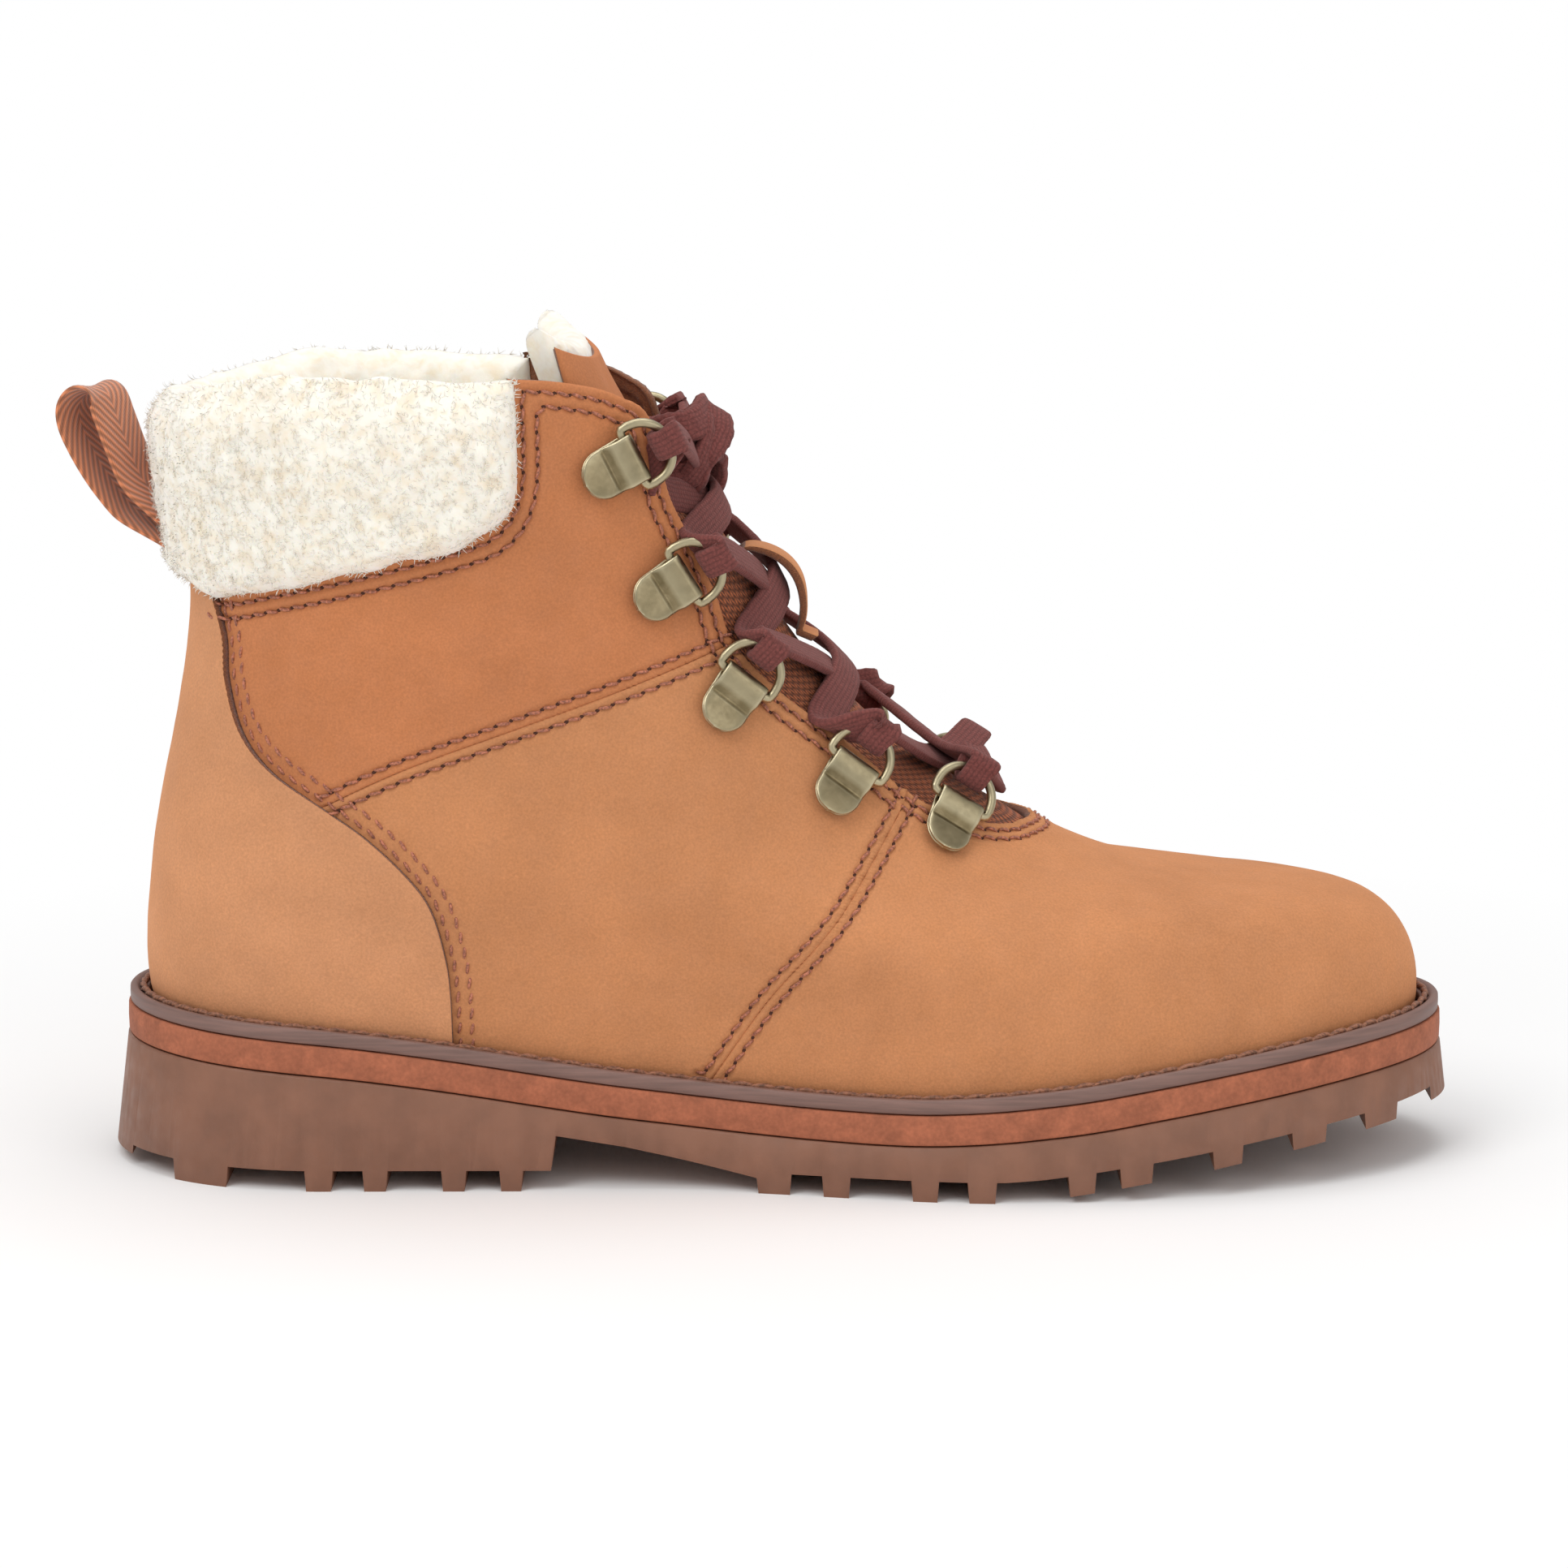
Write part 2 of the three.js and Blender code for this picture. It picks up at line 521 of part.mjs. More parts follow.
// The thick fleece roll above the leather. It bulges out past the leather and closes over at the top.
function addCollar() {
  const rings = TURNS.map((turn) => [
    ...COLLAR_BULGE.map(([level, depth]) => layerPoint(turn, level, depth)),
    ...COLLAR_BULGE.toReversed().map(([level]) => layerPoint(turn, level, COLLAR_INNER)),
  ]);
  const zone = prism([...shifted(collarSeam, GAP), [COLLAR_FRONT, ABOVE], above(COLLAR_SEAM[0])]);
  add("fleece_collar", loft(rings, true).intersect(zone), "fleece");
}

// How far the middle of the tongue lies under the upper's surface. It leans back from the facings at the top.
const tongueDepth = through([
  [0.4, 3], [0.5, 3.8], [0.58, 4.6], [0.66, 5.1], [0.74, 5.7], [0.84, 8.3], [0.92, 11.5], [1, 15.3],
  [1.06, 18.4], [1.16, 21.8],
]);
const tongueHalfTurn = (level) => mix(0.5, 1.02, smooth((level - 0.41) / 0.13));

// A point of the tongue's face: an arch from one edge, just under the leather, over the middle to the other.
function tonguePoint(k, level) {
  const edge = (side) => layerPoint(side * tongueHalfTurn(level), level, TONGUE_EDGE);
  const middle = edge(1).add(edge(-1)).multiplyScalar(0.5);
  const rise = layerPoint(0, level, tongueDepth(level)[0]).sub(middle);
  const reach = edge(k < 0 ? -1 : 1).sub(middle);
  const angle = (Math.abs(k) * Math.PI) / 2;
  const arch = Math.max(0, Math.cos(angle)) ** 1.15;
  return middle.addScaledVector(reach, Math.sin(angle)).addScaledVector(rise, arch);
}

// A point at a depth under the tongue's face. A negative depth is outside it.
function tongueLayerPoint(k, level, depth) {
  const d = 1e-3;
  const along = tonguePoint(k + d, level).sub(tonguePoint(k - d, level));
  const rise = tonguePoint(k, level + d).sub(tonguePoint(k, level - d));
  return tonguePoint(k, level).addScaledVector(rise.cross(along).normalize(), -depth);
}

// A sheet over the instep between two depths, over the given levels and a share of the tongue's width.
function tongueSheet([outside, inside], levels, share) {
  const rings = steps(-share, share, TONGUE_ACROSS).map((k) => [
    ...levels.map((level) => tongueLayerPoint(k, level, outside)),
    ...levels.toReversed().map((level) => tongueLayerPoint(k, level, inside)),
  ]);
  return loft(rings, false);
}

function addTongue() {
  const leatherZone = wall([-3, LEATHER + GAP]);
  add("tongue", biggest(tongueSheet(TONGUE, TONGUE_LEVELS, TONGUE_SHARE).subtract(leatherZone)), "textile");
  add("tongue_lining", tongueSheet(TONGUE_LINING, TONGUE_LEVELS.slice(1), TONGUE_LINING_SHARE), "fleece");
  add("tongue_patch", tongueSheet(TONGUE, PATCH_LEVELS, PATCH_SHARE), "nubuckDark");
  add("tongue_fleece_top", tongueSheet(TONGUE_LINING, FLEECE_TOP_LEVELS, TONGUE_LINING_SHARE), "fleece");
  for (const side of [1, -1]) {
    const rings = GUSSET_TURNS.map((turn) => [
      ...GUSSET_LEVELS.map((level) => layerPoint(side * turn, level, GUSSET[0])),
      ...GUSSET_LEVELS.toReversed().map((level) => layerPoint(side * turn, level, GUSSET[1])),
    ]);
    add(side > 0 ? "gusset_outer" : "gusset_inner", loft(rings, false), "textile");
  }
}

// The middle of the tongue's face at a level, raised by a height.
function tongueRidge(level, height) {
  return tongueLayerPoint(0, level, -height);
}

// A strap over the middle of the tongue that the lace passes under.
function addKeeper() {
  const rings = steps(0, 1, 12).map((k) => {
    const rise = mix(GAP, KEEPER.rise, Math.sin(Math.PI * k) ** 0.7);
    const level = mix(...KEEPER.levels, k);
    const foot = tongueRidge(level, rise);
    const out = tongueRidge(level, rise + 1).sub(foot);
    const corners = [[-1, 0], [1, 0], [1, KEEPER.thickness], [-1, KEEPER.thickness]];
    return corners.map(([y, h]) => foot.clone().addScaledVector(out, h)
      .add(new THREE.Vector3(0, y * KEEPER.half, 0)));
  });
  add("lace_keeper", loft(rings, false), "nubuck");
}

// A webbing loop on the back of the collar, turned a little towards the outer side.
function addPullLoop() {
  const { path, width, thickness, turn } = PULL_LOOP;
  const line = spline(path, 16);
  const across = new THREE.Vector3(Math.sin(turn), Math.cos(turn), 0);
  const outward = shifted(line, thickness);
  const rings = line.map(([x, z], i) => [[x, z, -1], [x, z, 1], [...outward[i], 1], [...outward[i], -1]]
    .map(([px, pz, k]) => new THREE.Vector3(px, 0, pz).addScaledVector(across, (k * width) / 2)));
  add("pull_loop", loft(rings, false), "webbing");
}

// ---- Sole ----

// A point of the plan outline: the bottom edge of the upper, moved outwards.
function planPoint(turn, out) {
  const d = 1e-3;
  const along = facePoint(turn + d, 0).sub(facePoint(turn - d, 0));
  return facePoint(turn, 0).add(new THREE.Vector3(along.y, -along.x, 0).normalize().multiplyScalar(-out));
}

const atHeight = (point, z) => point.clone().setZ(z);
const SOLE_TURNS = steps(0.07, Math.PI - 0.07, 26);

// A slab between two heights. Its side leans from one outset at the top to another at the bottom.
function slab(topOut, bottomOut, top, bottom, turns = SOLE_TURNS) {
  const column = (turn) => {
    const x = planPoint(turn, 0).x;
    return [
      atHeight(planPoint(turn, topOut(x)), top(x)),
      atHeight(planPoint(turn, bottomOut(x)), bottom(x)),
    ];
  };
  return loft(turns.map((turn) => [...column(turn), ...column(-turn).toReversed()]), false);
}

function addWelt() {
  const rings = TURNS.map((turn) => {
    const top = soleTop(planPoint(turn, 0).x);
    return [[WELT.out, 0], [WELT.out, WELT.thickness], [WELT.inner, WELT.thickness], [WELT.inner, 0]]
      .map(([out, down]) => atHeight(planPoint(turn, out), top - down));
  });
  add("welt", loft(rings, true), "welt");
}

const midsoleTop = (x) => soleTop(x) - WELT.thickness - GAP;
const midsoleBottom = (x) => midsoleTop(x) - MIDSOLE.thickness;
const outsoleTop = (x) => midsoleBottom(x) - GAP;

function addMidsole() {
  const shankTop = (x) => midsoleTop(x) - SHANK.cover;
  const shankPlan = (play) => box(SHANK.length + play, SHANK.width + play, 2 * BESIDE, SHANK.x, 0, 0);
  const inward = () => -SHANK.width;
  const pocket = slab(inward, inward, (x) => midsoleTop(x) + 1, (x) => shankTop(x) - SHANK.thickness - GAP)
    .intersect(shankPlan(2 * GAP));
  const whole = slab(() => MIDSOLE.out, () => MIDSOLE.out, midsoleTop, midsoleBottom);
  add("midsole", whole.subtract(pocket), "midsole");
  const strip = slab(inward, inward, shankTop, (x) => shankTop(x) - SHANK.thickness).intersect(shankPlan(0));
  add("shank", strip, "steel");
}

function planShape(out) {
  const outline = TURNS.map((turn) => planPoint(turn, out));
  const shape = new THREE.Shape(outline.map((p) => new THREE.Vector2(p.x, p.y)));
  return solid(new THREE.ExtrudeGeometry(shape, { depth: 120, bevelEnabled: false }).translate(0, 0, -60));
}

// The lugs in plan, as tall prisms: blocks along both edges and hexagons down the middle.
function lugPrisms() {
  const edges = EDGE_LUGS.map(([from, to]) => box(to - from, 160, 120, (from + to) / 2, 0, 0));
  const middles = MIDDLE_LUGS.map(([x, y, length, width]) => solid(cylinder(0.5, 120, 6)
    .rotateX(Math.PI / 2).rotateZ(Math.PI / 2).scale(length, width, 1).translate(x, y, 0)));
  const rim = wasm.Manifold.union(edges).subtract(planShape(-LUG_EDGE));
  return rim.add(wasm.Manifold.union(middles).intersect(planShape(-LUG_EDGE - LUG_GAP)));
}

function addOutsole() {
  const flare = (x) => OUTSOLE.out + OUTSOLE.flare * (outsoleTop(x) - ground(x));
  const whole = slab(() => OUTSOLE.out, flare, outsoleTop, ground, steps(0.07, Math.PI - 0.07, 34));
  const wide = () => 20;
  const grooves = slab(wide, wide, (x) => ground(x) + LUG_DEPTH, () => -10, steps(0.07, Math.PI - 0.07, 20));
  const made = whole.subtract(grooves.subtract(lugPrisms())).subtract(prism(ARCH));
  add("outsole", made, "rubber");
}

// The flat layers inside the upper, from the board up to the fleece under the foot.
function addInsoles() {
  const layer = (inset, [from, to]) => {
    const out = () => -inset;
    return slab(out, out, (x) => soleTop(x) + to, (x) => soleTop(x) + from);
  };
  add("insole_board", layer(INSOLE_BOARD_INSET, INSOLE_BOARD), "board");
  add("footbed", layer(FOOTBED_INSET, FOOTBED), "foam");
  add("footbed_fleece", layer(FOOTBED_INSET, FOOTBED_FLEECE), "fleece");
}

// ---- Lace ----

const up = (a, b, k) => a.clone().addScaledVector(b, k);

// The lace's way round one ring, from underneath, round the bow on the hinge side, to the top.
function wrap({ origin, pull, bar, out }) {
  const tilt = THREE.MathUtils.degToRad(RING.tilt);
  const reach = pull.clone().multiplyScalar(Math.cos(tilt)).addScaledVector(out, Math.sin(tilt));
  const over = out.clone().multiplyScalar(Math.cos(tilt)).addScaledVector(pull, -Math.sin(tilt));
  const centre = up(up(origin, reach, RING.reach - 0.45), over, LACE.slack);
  const around = (ahead, rise) => up(up(centre, reach, ahead), over, rise);
  const bend = steps(-Math.PI / 2, -1.5 * Math.PI, 6)
    .map((a) => around(LACE.bend * Math.cos(a), LACE.bend * Math.sin(a)));
  const start = around(LACE.bend, -LACE.bend);
  const end = around(LACE.bend, LACE.bend);
  return [start, ...bend, end].map((point) => ({ point, across: bar }));
}

// A flat ribbon through stations, each with a point and the direction of its width. Its ends run on a little.
function ribbon(stations) {
  const points = stations.map((s) => s.point.clone());
  const [first, second] = points;
  const [before, last] = points.slice(-2);
  const overrun = LACE.thickness / 2;
  const starts = first.clone().sub(second).setLength(overrun);
  const ends = last.clone().sub(before).setLength(overrun);
  first.add(starts);
  last.add(ends);
  let wideBefore = null;
  const rings = stations.map(({ across }, i) => {
    const along = points[Math.min(i + 1, points.length - 1)].clone().sub(points[Math.max(i - 1, 0)]);
    along.normalize();
    const wide = up(across, along, -across.dot(along)).normalize();
    if (wideBefore && wide.dot(wideBefore) < 0) wide.negate();
    wideBefore = wide;
    const thick = along.clone().cross(wide).multiplyScalar(LACE.thickness / 2);
    return [[-1, -1], [1, -1], [1, 1], [-1, 1]]
      .map(([w, t]) => up(up(points[i], wide, (w * LACE.width) / 2), thick, t));
  });
  return loft(rings, false);
}

// One half of the lace, from the bar at the toe end up to the knot. It changes sides at every crossing.
function laceHalf(firstSide) {
  const pieces = [];
  let last = null;
  const runTo = (station) => {
    if (last) pieces.push(ribbon([last, station]));
    last = station;
  };
  for (let index = RING_PLACES.length - 1; index >= 0; index--) {
    const side = firstSide * (index % 2 ? -1 : 1);
    const bow = wrap(frames.find((f) => f.side === side && f.index === index));
    runTo(bow[0]);
    pieces.push(ribbon(bow));
    last = bow.at(-1);
    if (index === 0) continue;
    const height = LACE.thickness / 2 + LACE.lift + (side < 0 ? LACE.stack : 0);
    const level = CROSSINGS[index - 1];
    const toward = frames.find((f) => f.side === -side && f.index === index - 1).origin;
    const run = toward.clone().sub(last.point);
    const across = new THREE.Vector3().crossVectors(run, faceNormal(0, level)).normalize();
    runTo({ point: tongueRidge(level, height), across });
  }
  const knotEnd = new THREE.Vector3(KNOT.x + 2, Math.sign(last.point.y) * 5, KNOT.z + 1);
  runTo({ point: knotEnd, across: new THREE.Vector3(-0.5, 0, 1).normalize() });
  return wasm.Manifold.union(pieces);
}

const lump = ([rx, ry, rz, x, y, z, lean]) => solid(new THREE.SphereGeometry(1, 10, 6).scale(rx, ry, rz)
  .rotateY(lean).translate(KNOT.x + x, y, KNOT.z + z));

function addLace() {
  const lowest = frames.filter((f) => f.index === RING_PLACES.length - 1);
  const [from, to] = lowest.map((frame) => wrap(frame)[0]);
  const middle = tongueRidge(LACE_BAR.level, LACE_BAR.height);
  const bar = ribbon([from, { point: middle, across: new THREE.Vector3(0.6, 0, -0.8) }, to]);
  const knot = KNOT_LUMPS.map(lump);
  add("lace", wasm.Manifold.union([laceHalf(1), laceHalf(-1), bar, ...knot]), "lace");
}

addOutsole();
addMidsole();
addWelt();
addInsoles();
addUpper();
addStiffeners();
addLining();
addCollar();
addTongue();
addKeeper();
addPullLoop();
addHardware();
addLace();

export default group;
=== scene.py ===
"""Looks of an insulated winter boot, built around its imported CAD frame.

Lengths in this file are millimetres; make_object turns them into metres. +X points to the toe, +Z up and -Y
to the outer side of the foot. The upper is one smooth face with two coordinates: turn runs round the boot,
from the toe and instep line over the outer side to the heel, and level climbs from the sole to the collar.
"""
import json
from itertools import product

import bmesh
import bpy
import numpy as np
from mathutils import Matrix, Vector
from mathutils.geometry import delaunay_2d_cdt


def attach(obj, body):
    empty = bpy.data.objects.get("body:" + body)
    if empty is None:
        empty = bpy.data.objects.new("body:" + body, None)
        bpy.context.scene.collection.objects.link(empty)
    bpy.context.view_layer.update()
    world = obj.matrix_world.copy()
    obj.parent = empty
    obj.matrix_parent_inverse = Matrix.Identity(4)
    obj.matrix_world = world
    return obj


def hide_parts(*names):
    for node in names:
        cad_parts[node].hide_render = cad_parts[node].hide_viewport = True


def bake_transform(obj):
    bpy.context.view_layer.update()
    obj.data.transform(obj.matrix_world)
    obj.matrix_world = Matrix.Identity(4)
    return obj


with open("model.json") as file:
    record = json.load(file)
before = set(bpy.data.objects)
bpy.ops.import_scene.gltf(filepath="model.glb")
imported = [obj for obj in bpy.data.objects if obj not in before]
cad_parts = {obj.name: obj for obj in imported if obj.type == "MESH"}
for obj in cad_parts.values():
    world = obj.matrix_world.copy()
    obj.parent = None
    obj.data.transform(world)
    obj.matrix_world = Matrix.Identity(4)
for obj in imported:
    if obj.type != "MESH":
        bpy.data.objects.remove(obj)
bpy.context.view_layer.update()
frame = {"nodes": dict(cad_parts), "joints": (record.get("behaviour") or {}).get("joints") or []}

# ---- Driving dimensions, as in the CAD source ----

# The upper's face: level, back x, back z, front x, front z.
PROFILE = [
    [0, -35.5, 33, 232.5, 30.5], [0.04, -36.2, 38.5, 232.3, 38.5], [0.07, -36.4, 42.6, 230.6, 44.8],
    [0.1, -36.3, 46.8, 226.8, 50.6], [0.13, -36.1, 50.9, 220.6, 54.9], [0.17, -35.6, 56.3, 211.4, 57.2],
    [0.2, -35.2, 60, 203.5, 57.9], [0.26, -34.3, 67.5, 189.4, 59.2], [0.34, -32.4, 78, 172.3, 61.5],
    [0.42, -30.3, 88, 156.5, 67.3], [0.48, -28.8, 95.5, 145.5, 74.6], [0.58, -26.7, 108, 125, 90],
    [0.7, -25.8, 121, 105.5, 110.3], [0.84, -27, 140, 92.5, 134], [1, -29, 160, 82, 158],
    [1.06, -29.5, 168, 79, 168], [1.2, -30.5, 187, 74, 190],
]
# Half widths: level, heel, outer waist, inner waist, outer ball, inner ball, heel rounding, toe rounding.
WIDTHS = [
    [0, 33, 33.5, 29, 47, 43, 39, 80], [0.12, 34.5, 35, 32, 46, 42.5, 40, 100],
    [0.26, 34, 36.5, 35, 41, 38.5, 42, 104], [0.45, 32, 35, 34.5, 36, 35.5, 46, 90],
    [0.7, 31.5, 34.5, 34.5, 34, 34, 46, 66], [1.06, 35, 37.5, 37.5, 36, 36, 46, 54],
    [1.2, 36, 38.5, 38.5, 36, 36, 46, 52],
]
# Height of the sole's top edge, and of the tread above the ground, by x.
SOLE_TOP = [[-44, 36.2], [-20, 34.6], [2, 33], [27, 30], [63, 24.6], [87, 22], [110, 20.8], [130, 20.8],
            [156, 23], [175, 25.8], [195, 28.6], [217, 31.2], [242, 33]]
GROUND = [[-44, 3.6], [-37, 0.4], [-33, 0], [140, 0], [150, 0.6], [175, 4.2], [195, 7.4], [217, 10.5],
          [242, 13.2]]
TOE_SHIFT = 6
TOE_SHIFT_START = 60
UPPER_INSERT = 2.6
LEATHER = 1.9

# Seams in side view, as x, z.
COLLAR_SEAM = [[-60, 126], [-25.7, 123.2], [-17.5, 120.4], [-6, 123], [11.9, 127.5], [31.6, 132.8],
               [39.8, 136.6], [43.2, 144], [43.4, 157], [43, 165.6]]
COUNTER_EDGE = [[-19.5, 122], [-16.7, 112], [-16.2, 103], [-13.1, 92.5], [-6.7, 84.9], [4.8, 77.6],
                [12.9, 72.1], [21, 64.6], [25.9, 57.8], [28.8, 47.7], [29.8, 39.2], [30.1, 26]]
QUARTER_SEAM = [[3.5, 78.2], [21.2, 86.4], [44.2, 94.9], [67.2, 103.2], [88.5, 111.2]]
VAMP_SEAM = [[123.6, 79.9], [122.2, 76.5], [117.1, 68.3], [110.4, 58.2], [103.7, 49.8], [93.7, 37.7],
             [80, 17]]
THROAT = [[43, 165.6], [51.7, 165], [60.1, 163.4], [65.3, 161.3], [69.5, 158.8], [71.9, 154], [74.6, 142],
          [78.4, 133.5], [84.3, 120.7], [87.9, 111], [96.8, 101.2], [110, 90.9], [122.6, 80.2], [131, 75.2],
          [140.3, 72], [146, 71]]
THROAT_END_LEVEL = 0.455

WELT_THICKNESS = 3
MIDSOLE_THICKNESS = 6.2
GAP = 0.3


# ---- Curves and the upper's face ----


def smooth(v):
    k = np.clip(v, 0, 1)
    return k * k * (3 - 2 * k)


def mix(a, b, k):
    return a + (b - a) * k


def unit(v):
    return v / np.maximum(np.linalg.norm(v, axis=-1, keepdims=True), 1e-12)


def through(rows):
    """A smooth curve through the rows of a table, as a function of column 0."""
    table = np.array(rows, float)
    x, y = table[:, 0], table[:, 1:]
    before = np.maximum(np.arange(len(x)) - 1, 0)
    after = np.minimum(np.arange(len(x)) + 1, len(x) - 1)
    slope = (y[after] - y[before]) / (x[after] - x[before])[:, None]

    def at(v):
        v = np.clip(np.asarray(v, float), x[0], x[-1])
        i = np.clip(np.searchsorted(x, v, side="right") - 1, 0, len(x) - 2)
        h = (x[i + 1] - x[i])[..., None]
        k = (v - x[i])[..., None] / h
        value = (2 * k**3 - 3 * k**2 + 1) * y[i] + (3 * k**2 - 2 * k**3) * y[i + 1]
        return value + (k**3 - 2 * k**2 + k) * h * slope[i] + (k**3 - k**2) * h * slope[i + 1]

    return at


profile = through(PROFILE)
widths = through(WIDTHS)
sole_top_curve = through(SOLE_TOP)
ground_curve = through(GROUND)
BACK_X, BACK_Z, FRONT_X, FRONT_Z = profile(0.0)


def sole_top(x):
    return sole_top_curve(x)[..., 0]


def ground(x):
    return np.maximum(0, ground_curve(x)[..., 0])


def rounded(d):
    k = np.clip(d, 0, 1)
    return np.sqrt(k * (2 - k))


def toe_shift(x):
    return TOE_SHIFT * smooth((x - TOE_SHIFT_START) / (FRONT_X - TOE_SHIFT_START))


def face_point(turn, level):
    turn, level = np.broadcast_arrays(np.asarray(turn, float), np.asarray(level, float))
    bx, bz, fx, fz = np.moveaxis(profile(level), -1, 0)
    heel, waist_out, waist_in, ball_out, ball_in, heel_round, toe_round = np.moveaxis(widths(level), -1, 0)
    outer = np.sin(turn) >= 0
    s = (1 + np.cos(turn)) / 2
    waist = np.where(outer, waist_out, waist_in)
    ball = np.where(outer, ball_out, ball_in)
    full = mix(mix(heel, waist, smooth((s - 0.1) / 0.3)), ball, smooth((s - 0.4) / 0.28))
    length = fx - bx
    half = full * rounded(s * length / heel_round) * rounded((1 - s) * length / toe_round)
    x = mix(bx, fx, s)
    dip = mix(BACK_Z, FRONT_Z, s) - (sole_top(mix(BACK_X, FRONT_X, s)) - UPPER_INSERT)
    z = mix(bz, fz, s) - dip * (1 - np.clip(level, 0, 1)) ** 4
    return np.stack([x, toe_shift(x) + np.where(outer, -half, half), z], -1)


def face_slopes(turn, level):
    d = 1e-3
    along = (face_point(turn + d, level) - face_point(turn - d, level)) / (2 * d)
    climb = (face_point(turn, level + d) - face_point(turn, level - d)) / (2 * d)
    return along, climb


def face_normal(turn, level):
    along, climb = face_slopes(turn, level)
    return unit(np.cross(climb, along))


def layer_point(turn, level, depth):
    """A point at a depth under the face. A negative depth stands proud of it."""
    return face_point(turn, level) - face_normal(turn, level) * np.asarray(depth)[..., None]


def face_at(x, z, side):
    """The turn and level where the face shows the side-view point x, z. side is 1 for outer, -1 for inner."""
    x, z = np.broadcast_arrays(np.asarray(x, float), np.asarray(z, float))
    low, high = np.zeros(x.shape), np.full(x.shape, 1.2)
    for _ in range(40):
        level = (low + high) / 2
        bx, _, fx, _ = np.moveaxis(profile(level), -1, 0)
        turn = side * np.arccos(np.clip(2 * (x - bx) / (fx - bx) - 1, -1, 1))
        above = (x > fx) | (face_point(turn, level)[..., 2] > z)
        high = np.where(above, level, high)
        low = np.where(above, low, level)
    return np.stack([turn, level], -1)


def run_along(points):
    """The distance of each point along a polyline."""
    return np.concatenate([[0], np.cumsum(np.linalg.norm(np.diff(points, axis=0), axis=1))])


def resampled(points, step, values=None):
    """The same polyline, or the values that go with its points, in equal steps of about the given length."""
    run = run_along(points)
    wanted = np.linspace(0, run[-1], max(2, int(round(run[-1] / step)) + 1))
    columns = (points if values is None else values).T
    return np.stack([np.interp(wanted, run, column) for column in columns], 1)


def spline(points, step, closed=False):
    """A smooth curve through points, in equal steps."""
    p = np.asarray(points, float)
    n = len(p)
    k = np.linspace(0, 1, 16, endpoint=False)[:, None]
    parts = []
    for i in range(n if closed else n - 1):
        if closed:
            a, b, c, d = p[i - 1], p[i], p[(i + 1) % n], p[(i + 2) % n]
        else:
            a, b, c, d = p[max(i - 1, 0)], p[i], p[i + 1], p[min(i + 2, n - 1)]
        parts.append(0.5 * (2 * b + (c - a) * k + (2 * a - 5 * b + 4 * c - d) * k**2
                            + (3 * b - a - 3 * c + d) * k**3))
    parts.append(p[:1] if closed else p[-1:])
    return resampled(np.vstack(parts), step)


def noise(points, size, seed=0):
    """A smooth random value from -1 to 1 at each point, with lumps of the given size."""
    q = np.asarray(points) / size + seed * 17.31
    cell = np.floor(q).astype(np.int64)
    f = smooth(q - cell)
    total = np.zeros(len(q))
    for corner in product((0, 1), repeat=3):
        c = cell + np.array(corner)
        h = (c[:, 0] * 73856093) ^ (c[:, 1] * 19349663) ^ (c[:, 2] * 83492791) ^ (seed * 40503 + 977)
        h = ((h & 0xFFFFFFFF) ^ ((h & 0xFFFFFFFF) >> 13)) * 1274126177
        value = ((h >> 8) & 0xFFFF) / 32767.5 - 1
        weight = np.prod(np.where(np.array(corner) == 1, f, 1 - f), axis=1)
        total += value * weight
    return total


def distance_to(points, line):
    """Distance from each point to the nearest of a line's closely spaced points."""
    best = np.full(len(points), 1e12)
    square = (points**2).sum(1)
    for part in np.array_split(line, max(1, len(line) // 400)):
        best = np.minimum(best, (square[:, None] + (part**2).sum(1)[None] - 2 * points @ part.T).min(1))
    return np.sqrt(np.maximum(best, 0))


# ---- Meshes ----


def make_object(name, points, faces, materials, index=None, flat=None):
    """A mesh object from points in millimetres. flat is each point's place on a woven strip."""
    mesh = bpy.data.meshes.new(name)
    mesh.from_pydata((np.asarray(points) * 0.001).tolist(), [], [tuple(map(int, f)) for f in faces])
    for material in materials:
        mesh.materials.append(material)
    if index is not None:
        mesh.polygons.foreach_set("material_index", np.asarray(index, np.int32))
    mesh.polygons.foreach_set("use_smooth", np.ones(len(mesh.polygons), bool))
    if flat is not None:
        attribute = mesh.attributes.new("flat", "FLOAT_VECTOR", "POINT")
        attribute.data.foreach_set("vector", np.asarray(flat, np.float32).ravel())
    mesh.update()
    obj = bpy.data.objects.new(name, mesh)
    bpy.context.scene.collection.objects.link(obj)
    return obj


def grid_faces(rows, columns, wrap_rows=False, wrap_columns=False):
    """Quads of a grid of points stored row by row."""
    r = np.arange(rows if wrap_rows else rows - 1)[:, None]
    c = np.arange(columns if wrap_columns else columns - 1)[None]
    r2, c2 = (r + 1) % rows, (c + 1) % columns
    quads = [r * columns + c, r * columns + c2, r2 * columns + c2, r2 * columns + c]
    return np.stack([q.ravel() for q in np.broadcast_arrays(*quads)], 1)


def end_caps(rows, columns):
    """The two end faces of a grid that is closed into a tube."""
    first = list(range(columns))
    return [first[::-1], [(rows - 1) * columns + i for i in first]]


